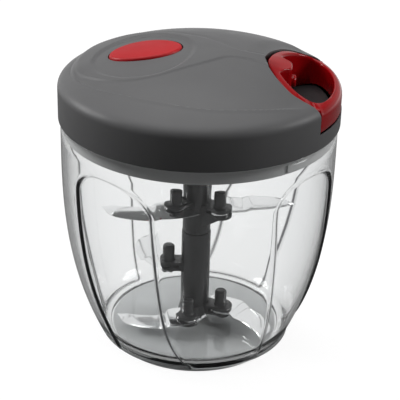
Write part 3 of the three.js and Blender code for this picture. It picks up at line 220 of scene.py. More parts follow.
def lay_floor():
    """Pale floor that keeps the shadow and glows white to the camera; its glow in gloss is painted
    reflection, faint inside the bowl and, in the open, dark when near and pale when far.
    """
    bm = bmesh.new()
    bmesh.ops.create_grid(bm, x_segments=1, y_segments=1, size=FLOOR_REACH)
    mesh = bpy.data.meshes.new("floor")
    bm.to_mesh(mesh)
    bm.free()
    floor = bpy.data.objects.new("floor", mesh)
    bpy.context.scene.collection.objects.link(floor)
    pale, nodes, links, shader = fresh("pale_floor")
    shader.inputs["Base Color"].default_value = (*FLOOR_GREY, 1)
    shader.inputs["Roughness"].default_value = 0.9
    shader.inputs["Specular IOR Level"].default_value = 0.0
    rays = ray_kinds(nodes, links)
    straight = combine(nodes, links, "MULTIPLY", rays["direct"], FLOOR_SEEN)
    # Painted reflection: glow that only gloss sees, inside the bowl and far off in the open
    in_bowl = combine(nodes, links, "MULTIPLY", rays["in_bowl"], FLOOR_IN_BOWL)
    spot = nodes.new("ShaderNodeTexCoord")
    parts = nodes.new("ShaderNodeSeparateXYZ")
    links.new(spot.outputs["Object"], parts.inputs[0])
    far = ramp(nodes, links, parts.outputs["Y"], (0, 0, 0), (FLOOR_SEEN,) * 3, 0.3, 0.8)
    in_open = combine(nodes, links, "MULTIPLY", rays["in_open"], far)
    glow = combine(nodes, links, "ADD", combine(nodes, links, "ADD", straight, in_bowl), in_open)
    shader.inputs["Emission Color"].default_value = (*WHITE, 1)
    links.new(glow, shader.inputs["Emission Strength"])
    mesh.materials.append(pale)


# Materials

# A noise texture's values lie mostly between these
NOISE_LOW, NOISE_HIGH = 0.3, 0.7


def fresh(name):
    material = bpy.data.materials.new(name)
    material.use_nodes = True
    nodes, links = material.node_tree.nodes, material.node_tree.links
    return material, nodes, links, nodes["Principled BSDF"]


def object_places(nodes, links, scale=(1, 1, 1)):
    """Object coordinates, stretched to suit a pattern."""
    places = nodes.new("ShaderNodeTexCoord")
    mapping = nodes.new("ShaderNodeMapping")
    mapping.inputs["Scale"].default_value = scale
    links.new(places.outputs["Object"], mapping.inputs["Vector"])
    return mapping.outputs["Vector"]


def noise(nodes, links, places, scale, detail=3, roughness=0.5):
    texture = nodes.new("ShaderNodeTexNoise")
    texture.inputs["Scale"].default_value = scale
    texture.inputs["Detail"].default_value = detail
    texture.inputs["Roughness"].default_value = roughness
    links.new(places, texture.inputs["Vector"])
    return texture.outputs["Fac"]


def ramp(nodes, links, value, low, high, start=NOISE_LOW, end=NOISE_HIGH):
    """Colour that runs from low to high as a value runs from start to end."""
    blend = nodes.new("ShaderNodeValToRGB")
    for element, position, colour in zip(blend.color_ramp.elements, (start, end), (low, high)):
        element.position = position
        element.color = (*colour, 1)
    links.new(value, blend.inputs["Fac"])
    return blend.outputs["Color"]


def mixed(nodes, links, share, first, second, blend="MIX"):
    """Colour mixed from two colours by a share; each may be a link or a plain value."""
    node = nodes.new("ShaderNodeMix")
    node.data_type = "RGBA"
    node.blend_type = blend
    for socket, value in zip((node.inputs[0], node.inputs[6], node.inputs[7]), (share, first, second)):
        if isinstance(value, (int, float, tuple)):
            socket.default_value = value
        else:
            links.new(value, socket)
    return node.outputs[2]


def spread(nodes, links, value, low, high):
    """Noise spread over a range."""
    mapped = nodes.new("ShaderNodeMapRange")
    mapped.inputs["From Min"].default_value = NOISE_LOW
    mapped.inputs["From Max"].default_value = NOISE_HIGH
    mapped.inputs["To Min"].default_value = low
    mapped.inputs["To Max"].default_value = high
    links.new(value, mapped.inputs["Value"])
    return mapped.outputs["Result"]


def relief(nodes, links, height, depth_mm, shader, strength=1.0):
    bump = nodes.new("ShaderNodeBump")
    bump.inputs["Strength"].default_value = strength
    bump.inputs["Distance"].default_value = depth_mm * MM
    links.new(height, bump.inputs["Height"])
    links.new(bump.outputs["Normal"], shader.inputs["Normal"])


def moulded_plastic(name, dark, light, rough, grain_scale, grain_mm, level):
    """Plastic with slow colour drift, uneven gloss and a fine mould grain."""
    material, nodes, links, shader = fresh(name)
    places = object_places(nodes, links)
    drift = noise(nodes, links, places, 26, 4)
    links.new(ramp(nodes, links, drift, dark, light), shader.inputs["Base Color"])
    gloss = noise(nodes, links, places, 90, 5, 0.6)
    links.new(spread(nodes, links, gloss, *rough), shader.inputs["Roughness"])
    relief(nodes, links, noise(nodes, links, places, grain_scale, 2), grain_mm, shader)
    shader.inputs["Specular IOR Level"].default_value = level
    return material


def clear_plastic():
    """Clear moulded plastic with faint flow waves and painted shade: near-black lines along the panel edges
    stand in for the shade that refraction gives at the steps; lamp light passes it.
    """
    material, nodes, links, shader = fresh("clear_plastic")
    waves = noise(nodes, links, object_places(nodes, links, scale=(1, 1, 0.25)), 60, 2)
    clouds = noise(nodes, links, object_places(nodes, links), 18, 2)
    drift = ramp(nodes, links, clouds, (0.955, 0.962, 0.965), (0.975, 0.98, 0.98))
    # Painted shade: the base colour goes near black along the panel edges, standing in for the shade that
    # refraction gives at the steps
    line = nodes.new("ShaderNodeAttribute")
    line.attribute_name = "painted_edge_shade"
    shaded = mixed(nodes, links, line.outputs["Fac"], drift, (0.02, 0.02, 0.022, 1))
    links.new(shaded, shader.inputs["Base Color"])
    relief(nodes, links, waves, 0.05, shader, 0.5)
    haze = combine(nodes, links, "MULTIPLY", line.outputs["Fac"], 0.4)
    links.new(combine(nodes, links, "ADD", haze, 0.015), shader.inputs["Roughness"])
    shader.inputs["IOR"].default_value = 1.47
    shader.inputs["Transmission Weight"].default_value = 1.0
    path = nodes.new("ShaderNodeLightPath").outputs
    passing = combine(nodes, links, "MAXIMUM", path["Is Shadow Ray"], path["Is Diffuse Ray"])
    free = nodes.new("ShaderNodeBsdfTransparent")
    free.inputs["Color"].default_value = (0.975, 0.98, 0.98, 1)
    mix = nodes.new("ShaderNodeMixShader")
    links.new(passing, mix.inputs[0])
    links.new(shader.outputs["BSDF"], mix.inputs[1])
    links.new(free.outputs[0], mix.inputs[2])
    links.new(mix.outputs[0], nodes["Material Output"].inputs["Surface"])
    tint = nodes.new("ShaderNodeVolumeAbsorption")
    tint.inputs["Color"].default_value = (0.3, 0.31, 0.31, 1)
    tint.inputs["Density"].default_value = 26.0
    links.new(tint.outputs["Volume"], nodes["Material Output"].inputs["Volume"])
    return material


def ground_steel(name, along):
    """Stainless steel with fine grinding lines, drawn out along one way."""
    material, nodes, links, shader = fresh(name)
    lines = noise(nodes, links, object_places(nodes, links, scale=along), 3500, 2)
    clouds = noise(nodes, links, object_places(nodes, links), 45, 4)
    tone = ramp(nodes, links, clouds, (0.91, 0.913, 0.915), (0.96, 0.962, 0.965))
    links.new(tone, shader.inputs["Base Color"])
    links.new(spread(nodes, links, lines, 0.1, 0.16), shader.inputs["Roughness"])
    relief(nodes, links, lines, 0.0004, shader, 0.3)
    shader.inputs["Metallic"].default_value = 1.0
    return material


def spring_wire():
    """Drawn wire with fine streaks."""
    material, nodes, links, shader = fresh("spring_wire")
    places = object_places(nodes, links)
    streaks = noise(nodes, links, places, 700, 3)
    tone = ramp(nodes, links, streaks, (0.42, 0.43, 0.45), (0.62, 0.63, 0.65))
    links.new(tone, shader.inputs["Base Color"])
    gloss = noise(nodes, links, places, 300, 3)
    links.new(spread(nodes, links, gloss, 0.25, 0.42), shader.inputs["Roughness"])
    relief(nodes, links, streaks, 0.008, shader, 0.5)
    shader.inputs["Metallic"].default_value = 1.0
    return material


def soft_rubber():
    """Pale grey rubber with a dull, uneven skin."""
    material, nodes, links, shader = fresh("soft_rubber")
    places = object_places(nodes, links)
    clouds = noise(nodes, links, places, 40, 4)
    tone = ramp(nodes, links, clouds, (0.74, 0.743, 0.746), (0.82, 0.823, 0.825))
    links.new(tone, shader.inputs["Base Color"])
    gloss = noise(nodes, links, places, 200, 4)
    links.new(spread(nodes, links, gloss, 0.5, 0.7), shader.inputs["Roughness"])
    relief(nodes, links, noise(nodes, links, places, 1500, 2), 0.03, shader, 0.5)
    return material


def braided_cord():
    """Off-white braid: strands cross at a slant round the cord, from the cord's own UV map."""
    material, nodes, links, shader = fresh("braided_cord")
    uv = nodes.new("ShaderNodeUVMap")
    strands = []
    for slant in (1, -1):
        mapping = nodes.new("ShaderNodeMapping")
        mapping.inputs["Rotation"].default_value = (0, 0, slant * radians(38))
        links.new(uv.outputs["UV"], mapping.inputs["Vector"])
        wave = nodes.new("ShaderNodeTexWave")
        wave.inputs["Scale"].default_value = 2.2
        wave.inputs["Distortion"].default_value = 0.4
        links.new(mapping.outputs["Vector"], wave.inputs["Vector"])
        strands.append(wave.outputs["Fac"])
    braid = combine(nodes, links, "MAXIMUM", *strands)
    tone = ramp(nodes, links, braid, (0.42, 0.4, 0.36), (0.78, 0.76, 0.7), 0.2, 0.8)
    links.new(tone, shader.inputs["Base Color"])
    relief(nodes, links, braid, 0.12, shader)
    shader.inputs["Roughness"].default_value = 0.85
    shader.inputs["Sheen Weight"].default_value = 0.2
    return material


GREY = moulded_plastic("satin_grey", dark=(0.112, 0.112, 0.114), light=(0.126, 0.126, 0.128),
                       rough=(0.36, 0.44), grain_scale=2600, grain_mm=0.006, level=0.16)
# The plug is the lid's own dark grey plastic; this much lighter grey is painted reflection, standing in for
# the shine of the bowl's neck seen over it
PLUG_GREY_PAINTED_LIGHT = moulded_plastic("plug_grey_painted_light", dark=(0.8, 0.8, 0.8), light=(0.86, 0.86, 0.86),
                              rough=(0.38, 0.5), grain_scale=2600, grain_mm=0.008, level=0.4)
RED = moulded_plastic("gloss_red", dark=(0.27, 0.002, 0.004), light=(0.31, 0.003, 0.005),
                      rough=(0.12, 0.17), grain_scale=500, grain_mm=0.003, level=0.2)
RED_BUTTON = moulded_plastic("satin_red", dark=(0.37, 0.008, 0.012), light=(0.45, 0.012, 0.016),
                             rough=(0.36, 0.46), grain_scale=2400, grain_mm=0.012, level=0.22)
DARK = moulded_plastic("spindle_grey", dark=(0.03, 0.03, 0.031), light=(0.038, 0.038, 0.039),
                       rough=(0.22, 0.28), grain_scale=1800, grain_mm=0.003, level=0.5)
NYLON = moulded_plastic("black_nylon", dark=(0.018, 0.018, 0.019), light=(0.03, 0.03, 0.031),
                        rough=(0.35, 0.5), grain_scale=2000, grain_mm=0.01, level=0.4)
CLEAR = clear_plastic()
STEEL = ground_steel("blade_steel", along=(1, 0.12, 1))
PIN_STEEL = ground_steel("turned_steel", along=(1, 1, 12))
SPRING = spring_wire()
RUBBER = soft_rubber()
BRAID = braided_cord()


# Mesh helpers

def to_piece(name, bm, material, body, stands_for=(), crisp=38):
    """Mesh of a bmesh in millimetres as a piece that rides on a body."""
    bmesh.ops.scale(bm, vec=(MM, MM, MM), verts=bm.verts)
    mesh = bpy.data.meshes.new(name)
    bm.to_mesh(mesh)
    bm.free()
    dress(name, mesh, material, body, stands_for, crisp)


def dress(name, mesh, material, body, stands_for=(), crisp=38):
    """Mesh in metres as a smooth-shaded piece, with edges kept sharp past an angle."""
    mesh.materials.clear()
    mesh.materials.append(material)
    mesh.polygons.foreach_set("use_smooth", [True] * len(mesh.polygons))
    mesh.set_sharp_from_angle(angle=radians(crisp))
    piece = bpy.data.objects.new(name, mesh)
    bpy.context.scene.collection.objects.link(piece)
    if body:
        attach(piece, body)
    if stands_for:
        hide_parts(*stands_for)
    return piece


def settled(bm):
    """Doubles merged, poles closed and faces turned outwards."""
    bmesh.ops.remove_doubles(bm, verts=bm.verts, dist=0.001)
    bmesh.ops.dissolve_degenerate(bm, dist=0.00025, edges=bm.edges)
    bmesh.ops.recalc_face_normals(bm, faces=bm.faces)
    return bm


def bend(start, corner, end, t):
    """Place on a bend from start to end, drawn towards a corner."""
    return (1 - t) ** 2 * start + 2 * t * (1 - t) * corner + t ** 2 * end


def eased(corners, steps=4):
    """Profile with its corners rounded: each corner is (radius, height) or (radius, height, fillet)."""
    points = []
    count = len(corners)
    for i, corner in enumerate(corners):
        here = Vector(corner[:2])
        fillet = corner[2] if len(corner) > 2 else 0
        if not fillet:
            points.append(tuple(here))
            continue
        before = Vector(corners[i - 1][:2])
        after = Vector(corners[(i + 1) % count][:2])
        to_before, to_after = (before - here).normalized(), (after - here).normalized()
        half = to_before.angle(to_after) / 2
        room = 0.49 * min((before - here).length, (after - here).length)
        back = min(fillet / max(1e-6, abs(np.tan(half))), room)
        start, end = here + to_before * back, here + to_after * back
        points += [tuple(bend(start, here, end, k / steps)) for k in range(steps + 1)]
    return points


def spun(profile, steps, closed=False):
    """Round piece spun about the Z axis from a profile of (radius, height)."""
    bm = bmesh.new()
    verts = [bm.verts.new((max(radius, 0), 0, height)) for radius, height in profile]
    pairs = list(zip(verts, verts[1:])) + ([(verts[-1], verts[0])] if closed else [])
    edges = [bm.edges.new(pair) for pair in pairs]
    bmesh.ops.spin(bm, geom=verts + edges, cent=(0, 0, 0), axis=(0, 0, 1), angle=2 * pi, steps=steps,
                   use_merge=True)
    return settled(bm)


def moved(bm, place=(0, 0, 0), turn=0.0):
    if turn:
        bmesh.ops.rotate(bm, cent=(0, 0, 0), matrix=Matrix.Rotation(turn, 3, "Z"), verts=bm.verts)
    bmesh.ops.translate(bm, vec=place, verts=bm.verts)
    return bm


def laid_along_x(bm, place):
    """Piece made about the Z axis, laid down along X at a place."""
    bmesh.ops.rotate(bm, cent=(0, 0, 0), matrix=Matrix.Rotation(pi / 2, 3, "Y"), verts=bm.verts)
    return moved(bm, place)


def bore(radius, depth, x):
    """Cutter for a round hole along X at the cord's height."""
    bm = bmesh.new()
    bmesh.ops.create_cone(bm, cap_ends=True, segments=32, radius1=radius, radius2=radius, depth=depth)
    return laid_along_x(bm, (x, 0, CORD_Z))


def joined(*parts):
    """Several closed shells in one bmesh."""
    whole = bmesh.new()
    for part in parts:
        mesh = bpy.data.meshes.new("part")
        part.to_mesh(mesh)
        part.free()
        whole.from_mesh(mesh)
        bpy.data.meshes.remove(mesh)
    return whole


def extruded(outline, way):
    """Flat outline in space, extruded along a way, and the new vertices at its far end."""
    bm = bmesh.new()
    face = bm.faces.new([bm.verts.new(corner) for corner in outline])
    grown = bmesh.ops.extrude_face_region(bm, geom=[face])
    far = [v for v in grown["geom"] if isinstance(v, bmesh.types.BMVert)]
    bmesh.ops.translate(bm, vec=way, verts=far)
    bmesh.ops.recalc_face_normals(bm, faces=bm.faces)
    return bm


def rounded(bm, edges, width, segments):
    bmesh.ops.bevel(bm, geom=edges, offset=width, offset_type="OFFSET", segments=segments, profile=0.5,
                    affect="EDGES", material=-1, clamp_overlap=True)
    return bm


def slab(outline, low, high, width=0.0, segments=3):
    """Upright plate on an outline in plan, with its top and bottom edges rounded."""
    bm = extruded([(x, y, low) for x, y in outline], (0, 0, high - low))
    if width:
        for level in (high, low):
            rim = [e for e in bm.edges if all(abs(v.co.z - level) < 1e-6 for v in e.verts)]
            rounded(bm, rim, width, segments)
    return bm


def cut_away(piece_bm, *cutters):
    """Piece less its cutters, by Blender's boolean."""
    mesh = bpy.data.meshes.new("whole")
    piece_bm.to_mesh(mesh)
    piece_bm.free()
    whole = bpy.data.objects.new("whole", mesh)
    bpy.context.scene.collection.objects.link(whole)
    tools = []
    for cutter in cutters:
        tool_mesh = bpy.data.meshes.new("tool")
        cutter.to_mesh(tool_mesh)
        cutter.free()
        tool = bpy.data.objects.new("tool", tool_mesh)
        bpy.context.scene.collection.objects.link(tool)
        modifier = whole.modifiers.new("cut", "BOOLEAN")
        modifier.operation = "DIFFERENCE"
        modifier.solver = "EXACT"
        modifier.object = tool
        tools.append(tool)
    bpy.context.view_layer.update()
    result = bpy.data.meshes.new_from_object(whole.evaluated_get(bpy.context.evaluated_depsgraph_get()))
    bm = bmesh.new()
    bm.from_mesh(result)
    for thing in [whole, *tools]:
        data = thing.data
        bpy.data.objects.remove(thing)
        bpy.data.meshes.remove(data)
    bpy.data.meshes.remove(result)
    return bm


def curve_through(a, b, c, d, t):
    """Place between b and c on a smooth curve through four values or points."""
    second, third = 2 * a - 5 * b + 4 * c - d, 3 * b - a - 3 * c + d
    return 0.5 * (2 * b + (c - a) * t + second * t ** 2 + third * t ** 3)


def smooth_loop(points, count):
    """Closed smooth curve through points, as evenly spaced points."""
    points = np.array(points, float)
    n = len(points)
    steps = np.linspace(0, 1, 24, endpoint=False)
    fine = [curve_through(*(points[(i + k - 1) % n] for k in range(4)), t) for i in range(n) for t in steps]
    return evenly(np.array(fine), count)


def evenly(points, count):
    """Closed outline as evenly spaced points."""
    closed = np.vstack([points, points[:1]])
    run = np.concatenate([[0], np.cumsum(np.linalg.norm(np.diff(closed, axis=0), axis=1))])
    marks = np.linspace(0, run[-1], count, endpoint=False)
    return np.stack([np.interp(marks, run, closed[:, k]) for k in range(2)], 1)


def distance_to(places, line):
    """Distance to an open line in plan."""
    near = np.full(len(places), np.inf)
    for p, q in zip(np.array(line[:-1], float), np.array(line[1:], float)):
        run = q - p
        t = np.clip(((places - p) @ run) / max(run @ run, 1e-12), 0, 1)
        near = np.minimum(near, np.linalg.norm(places - p - t[:, None] * run, axis=1))
    return near


def inside_depth(places, outline):
    """Distance to a closed outline in plan, positive inside it."""
    depth = distance_to(places, np.vstack([outline, outline[:1]]))
    inside = np.zeros(len(places), bool)
    for p, q in zip(outline, np.roll(outline, -1, axis=0)):
        run = q - p
        crosses = (p[1] > places[:, 1]) != (q[1] > places[:, 1])
        where = p[0] + (places[:, 1] - p[1]) * run[0] / (run[1] if abs(run[1]) > 1e-12 else 1e-12)
        inside ^= crosses & (places[:, 0] < where)
    return np.where(inside, depth, -depth)


def ease(t):
    t = np.clip(t, 0, 1)
    return t * t * (3 - 2 * t)


def swell(distance, width):
    """Soft ridge over a line, from 1 on it to 0 beside it."""
    return np.exp(-(distance / width) ** 2)


# Bowl

RECESS_RADIUS = 41.9
RECESS_Z = 5.2
PIN_SOCKET_Z = 6.1
NECK_FOOT_Z = 112.0
WALL_TOP_Z = 113.2
BOWL_COLUMNS = 88
# Lowest and highest row of each stretch of the wall, and its number of rows, closer by the panels' arches
OUTER_ROWS = ((5, 30, 20), (31.5, 84, 34), (84.8, 103.2, 42), (104.5, WALL_TOP_Z, 6))
INNER_ROWS = ((111.3, 60, 16), (57, 16, 16))
FLOOR_BEND_Z = 15
FLOOR_BEND = 4

PANELS = 4
PANEL_AZIMUTH = radians(-32)
PANEL_DEPTH = 0.9
PANEL_STEP = 0.9
PANEL_LOW_Z = 5.5
# Heights and distances across for the panel's two sides, then the arch between their tops
PANEL_SIDE_Z = (5.5, 10, 15, 20, 28, 36, 45, 55, 71, 88)
PANEL_LEFT = (-9.6, -10.6, -11.6, -12.5, -14.3, -16.0, -17.6, -19.1, -20.7, -21.7)
PANEL_RIGHT = (27.0, 24.9, 23.6, 22.9, 22.3, 22.2, 22.3, 22.2, 21.7, 20.8)
PANEL_TOP = ((20.3, 91.2), (17.9, 95.0), (13.6, 98.6), (6.8, 101.2), (-1.5, 102.3), (-9.0, 101.9),
             (-14.4, 100.2), (-18.3, 97.4), (-21.0, 93.6))
# Columns where a quarter of the bowl starts and ends, and where the band over each side of its panel does
COLUMN_STOPS = np.array([0, 12, 24, 64, 76, 88]) / BOWL_COLUMNS
SIDE_BAND = 1.5
PANEL_LIP = 0.2
PANEL_LIP_WIDTH = 0.45
# The outer skin that takes panels: its depth, and its lowest and highest height
SKIN_DEPTH = 0.9
SKIN_LOW_Z = 3.6
SKIN_TOP_Z = 113
# Painted shade along the panel edges: its strength, its width, how much it fades, and the height and run over
# which it fades
EDGE_SHADE_STRENGTH = 1.7
EDGE_SHADE_WIDTH = 0.7
EDGE_SHADE_FADE = 0.8
EDGE_SHADE_FADE_Z = 94
EDGE_SHADE_FADE_HEIGHT = 5


def bowl_radius(z):
    left = max(0.0, 1 - (z - BOWL_BASE_Z) / (BELLY_TOP_Z - BOWL_BASE_Z))
    return BOWL_RADIUS - (BOWL_RADIUS - BOWL_BASE_RADIUS) * left ** BELLY_CURVE


def rows(stretches):
    return np.concatenate([np.linspace(*stretch) for stretch in stretches])


def panel_arch():
    """Outline of a panel: distance across and height."""
    right = list(zip(PANEL_RIGHT, PANEL_SIDE_Z))
    left = list(zip(PANEL_LEFT, PANEL_SIDE_Z))[::-1]
    bottom = [(x, PANEL_LOW_Z) for x in np.linspace(PANEL_LEFT[0], PANEL_RIGHT[0], 8)[1:-1]]
    return smooth_loop(right + list(PANEL_TOP) + left + bottom, 260)


def bowl_profile():
    """Half section of the bowl, from the recess for the foot round to the socket of the pin."""
    base = [(RECESS_RADIUS, RECESS_Z), (RECESS_RADIUS, 3.35), (42.1, BOWL_BASE_Z),
            (BOWL_BASE_RADIUS - 2.2, BOWL_BASE_Z), (BOWL_BASE_RADIUS - 1.4, 3.3), (bowl_radius(4) - 0.6, 4.0)]
    outer = [(bowl_radius(z), z) for z in rows(OUTER_ROWS)]
    neck = eased([(BOWL_RADIUS, WALL_TOP_Z), (BOWL_RADIUS, SHOULDER_Z, 0.5), (NECK_RADIUS, SHOULDER_Z, 0.5),
                  (NECK_RADIUS, RIM_Z, 0.7), (NECK_BORE, RIM_Z, 0.7), (NECK_BORE, NECK_FOOT_Z)])[1:]
    inner = [(bowl_radius(z) - BOWL_WALL, z) for z in rows(INNER_ROWS)]
    inner[0] = (NECK_BORE + 0.2, INNER_ROWS[0][0])
    floor_radius = bowl_radius(FLOOR_Z) - BOWL_WALL
    wall_radius = bowl_radius(FLOOR_BEND_Z) - BOWL_WALL
    fillet = [(bend(wall_radius, floor_radius, floor_radius - FLOOR_BEND, t),
               bend(FLOOR_BEND_Z, FLOOR_Z, FLOOR_Z, t)) for t in np.linspace(0, 1, 9)]
    boss = eased([(30.0, FLOOR_Z), (12.0, FLOOR_Z), (6.4, FLOOR_Z, 0.8), (4.8, 10.6, 0.6), (2.8, 10.6, 0.2),
                  (2.8, PIN_SOCKET_Z), (0.0, PIN_SOCKET_Z)], 3)
    return [(0.0, RECESS_Z), (20.0, RECESS_Z)] + base + outer + neck + inner + fillet + boss


def let_in_panels(bm):
    """Gather the columns along the panels' sides, sink the panels and store painted shade along their edges
    as dark lines.
    """
    edge_shade_layer = bm.verts.layers.float.new("painted_edge_shade")
    verts = [v for v in bm.verts if v.co.xy.length > 20]
    x, y, height = np.array([v.co for v in verts]).T
    radius = np.hypot(x, y)
    azimuth = np.arctan2(y, x)
    centre = -pi / 2 + PANEL_AZIMUTH
    turn = (azimuth - centre + pi / PANELS) / (2 * pi / PANELS)
    sector = np.floor(turn + 1e-9)
    share = turn - sector
    outside = np.array([bowl_radius(z) for z in np.clip(height, 4, 120)])
    left = np.arcsin(np.interp(height, PANEL_SIDE_Z, PANEL_LEFT) / outside)
    right = np.arcsin(np.interp(height, PANEL_SIDE_Z, PANEL_RIGHT) / outside)
    near = SIDE_BAND / outside
    edge = np.full(len(verts), pi / PANELS)
    stops = np.stack([-edge, left - near, left + near, right - near, right + near, edge], 1)
    warped = np.array([np.interp(s, COLUMN_STOPS, stop) for s, stop in zip(share, stops)])
    across = outside * np.sin(warped)
    depth = inside_depth(np.stack([across, height], 1), panel_arch())
    skin = (radius > outside - SKIN_DEPTH) & (height > SKIN_LOW_Z) & (height < SKIN_TOP_Z)
    lip = PANEL_LIP * swell(depth + PANEL_STEP, PANEL_LIP_WIDTH)
    sunk = np.where(skin, PANEL_DEPTH * ease(depth / PANEL_STEP + 0.5) - lip, 0)
    full = centre + sector * (2 * pi / PANELS) + warped
    # Painted shade: dark lines along the panel edges, fading out towards the top
    line = np.where(skin, np.clip(EDGE_SHADE_STRENGTH * swell(depth, EDGE_SHADE_WIDTH), 0, 1), 0)
    line *= 1 - EDGE_SHADE_FADE * ease((height - EDGE_SHADE_FADE_Z) / EDGE_SHADE_FADE_HEIGHT)
    for v, r, a, dark in zip(verts, radius - sunk, full, line):
        v.co.x, v.co.y = r * cos(a), r * sin(a)
        v[edge_shade_layer] = dark


def make_bowl():
    bm = spun(bowl_profile(), PANELS * BOWL_COLUMNS)
    let_in_panels(bm)
    to_piece("clear_bowl", bm, CLEAR, "bowl", ["bowl"], 50)


FOOT_RADIUS = 40.6
FOOT_FLANGE_RADIUS = 40.9
FOOT_FLANGE_Z = 2.7
FOOT_TOP_Z = 4.9
FOOT_DISC_Z = 1.0
TREADS = 3
TREAD_START = 35.8
TREAD_PITCH = 1.6
TREAD_WIDTH = 1.15
TREAD_HEIGHT = 0.5
TREAD_ROUNDING = 0.25


def make_foot():
    """Rubber foot: a tread ring with fine grooves round a recessed disc."""
    profile = [(0.0, FOOT_DISC_Z), (35.0, FOOT_DISC_Z)]
    for k in range(TREADS):
        start = TREAD_START + TREAD_PITCH * k
        end = start + TREAD_WIDTH
        first_z = FOOT_DISC_Z if k == 0 else TREAD_HEIGHT
        profile += eased([(start, first_z), (start, 0.0, TREAD_ROUNDING), (end, 0.0, TREAD_ROUNDING),
                          (end, TREAD_HEIGHT)], 3)[1:-1]
        profile.append((end, TREAD_HEIGHT if k < TREADS - 1 else 0.4))
    profile += eased([(40.3, 0.3), (FOOT_FLANGE_RADIUS, 0.4, 0.2), (FOOT_FLANGE_RADIUS, FOOT_FLANGE_Z, 0.5),
                      (FOOT_RADIUS, FOOT_FLANGE_Z), (FOOT_RADIUS, FOOT_TOP_Z, 0.3), (0.0, FOOT_TOP_Z)], 3)[1:]
    to_piece("rubber_foot", spun(profile, 160), RUBBER, "bowl", ["non_slip_foot"])


# Spindle and blades

# Each blade's height and reach, its step down, the azimuths of its post and root, the angle that it sweeps
# from its root, how late it sweeps, its twist, and its width as a share
BLADES = {
    "lower_blade_left": dict(unit="lower", level=13.7, reach=40, drop=2.2, post=261, root=262, sweep=-64,
                             bend=0.75, twist=4, width=0.86),
    "lower_blade_right": dict(unit="lower", level=13.7, reach=43.8, drop=2.2, post=350, root=369, sweep=-42,
                              bend=1.4, twist=-1, width=1),
    "middle_blade": dict(unit="lower", level=36.5, reach=44, drop=2.2, post=187, root=186, sweep=-56,
                         bend=0.9, twist=0, width=0.95),
    "upper_blade_left": dict(unit="upper", level=70.6, reach=47, drop=1.2, post=227, root=236, sweep=-41,
                             bend=0.95, twist=2, width=1),
    "upper_blade_right": dict(unit="upper", level=69.0, reach=47, drop=-1.2, post=330, root=366, sweep=3,
                              bend=1, twist=3, width=1),
}
GUSSETS = {"upper_blade_right": 6.5}
# Half widths from root to tip, as shares of the blade's width, before and behind its middle line
BLADE_WIDTH = 9.5
LEADING_SHARES = [1, 0.92, 0.78, 0.66, 0.56, 0.36, -0.26]
TRAILING_SHARES = [0.62, 0.86, 0.82, 0.75, 0.66, 0.52, 0.28]
BLADE_START = 8.2
BLADE_STEPS = 56
BLADE_HALF = 0.55
GRIND_WIDTH = 3.2
POST_REACH = 13.2
EYE_BORE = 2.5
EYE_RADIUS = 4.6
ARM_HALF = 4.2
ARM_CORE = 8.0
SEAT_RADIUS = 5.8
SEAT_BELOW = 2.3
SEAT_ABOVE = 2.4
SEAT_GAP = 0.85
POST_HEIGHT = 8.0
POST_RADIUS = 2.9
POST_COLLAR = 3.3
POST_SHANK = 2.2
EDGE_SLACK = 0.35
# Shares of a blade's length where it steps down and twists, and over how much of it
STEP_SHARE, STEP_RUN_SHARE = 0.34, 0.12
TWIST_SHARE, TWIST_RUN_SHARE = 0.3, 0.2


def smooth_share(shares, place):
    """Smooth value between evenly spread shares."""
    span = place * (len(shares) - 1)
    i = min(int(span), len(shares) - 2)
    return curve_through(*(shares[min(max(i + k, 0), len(shares) - 1)] for k in (-1, 0, 1, 2)), span - i)


def blade_place(blade, share):
    """Place in plan on a blade's middle line."""
    angle = radians(blade["root"] + blade["sweep"] * share ** blade["bend"])
    reach = BLADE_START + (blade["reach"] - BLADE_START) * share
    return Vector((reach * cos(angle), reach * sin(angle), 0))


def blade_section(blade, share):
    """Section of a blade, ground to an edge in front: (across, rise) in order."""
    leading = BLADE_WIDTH * blade["width"] * smooth_share(LEADING_SHARES, share) + EDGE_SLACK
    trailing = BLADE_WIDTH * blade["width"] * smooth_share(TRAILING_SHARES, share) + EDGE_SLACK
    grind = min(GRIND_WIDTH, (leading + trailing) * 0.4)
    slim = min(1, (leading + trailing) / 5)
    low, top, rounding = -BLADE_HALF, -BLADE_HALF + 2 * BLADE_HALF * slim, 0.15 * slim
    return [(leading, low), (leading, low + 0.8 * rounding), (leading - grind, top),
            (-trailing + rounding, top), (-trailing, top - rounding), (-trailing, low + rounding),
            (-trailing + rounding, low)]


def make_blade(name, blade):
    """Sheet steel sickle: a flat root with an eye, a step down, and a ground leading edge."""
    bm = bmesh.new()
    loops = []
    for i in range(BLADE_STEPS + 1):
        share = (i / BLADE_STEPS) ** 0.9
        ahead, behind = blade_place(blade, min(share + 0.05, 1)), blade_place(blade, max(share - 0.05, 0))
        along = (ahead - behind).normalized()
        side = Vector((-along.y, along.x, 0))
        level = blade["level"] - blade["drop"] * float(ease((share - STEP_SHARE) / STEP_RUN_SHARE))
        tilt = np.tan(radians(blade["twist"])) * float(ease((share - TWIST_SHARE) / TWIST_RUN_SHARE))
        here = blade_place(blade, share)
        verts = [bm.verts.new(here + side * across + Vector((0, 0, level + rise + across * tilt)))
                 for across, rise in blade_section(blade, share)]
        loops.append([bm.edges.new((verts[k], verts[(k + 1) % len(verts)])) for k in range(len(verts))])
    for first, second in zip(loops, loops[1:]):
        bmesh.ops.bridge_loops(bm, edges=first + second)
    bmesh.ops.contextual_create(bm, geom=loops[0])
    bmesh.ops.contextual_create(bm, geom=loops[-1])
    settled(bm)
    angle = radians(blade["post"])
    eye = spun(eased([(EYE_BORE, -BLADE_HALF), (EYE_RADIUS, -BLADE_HALF, 0.15),
                      (EYE_RADIUS, BLADE_HALF, 0.15), (EYE_BORE, BLADE_HALF)], 2), 40, closed=True)
    moved(eye, (POST_REACH * cos(angle), POST_REACH * sin(angle), blade["level"]))
    to_piece(name + "_sheet", joined(bm, eye), STEEL, "blades", [name], 18)


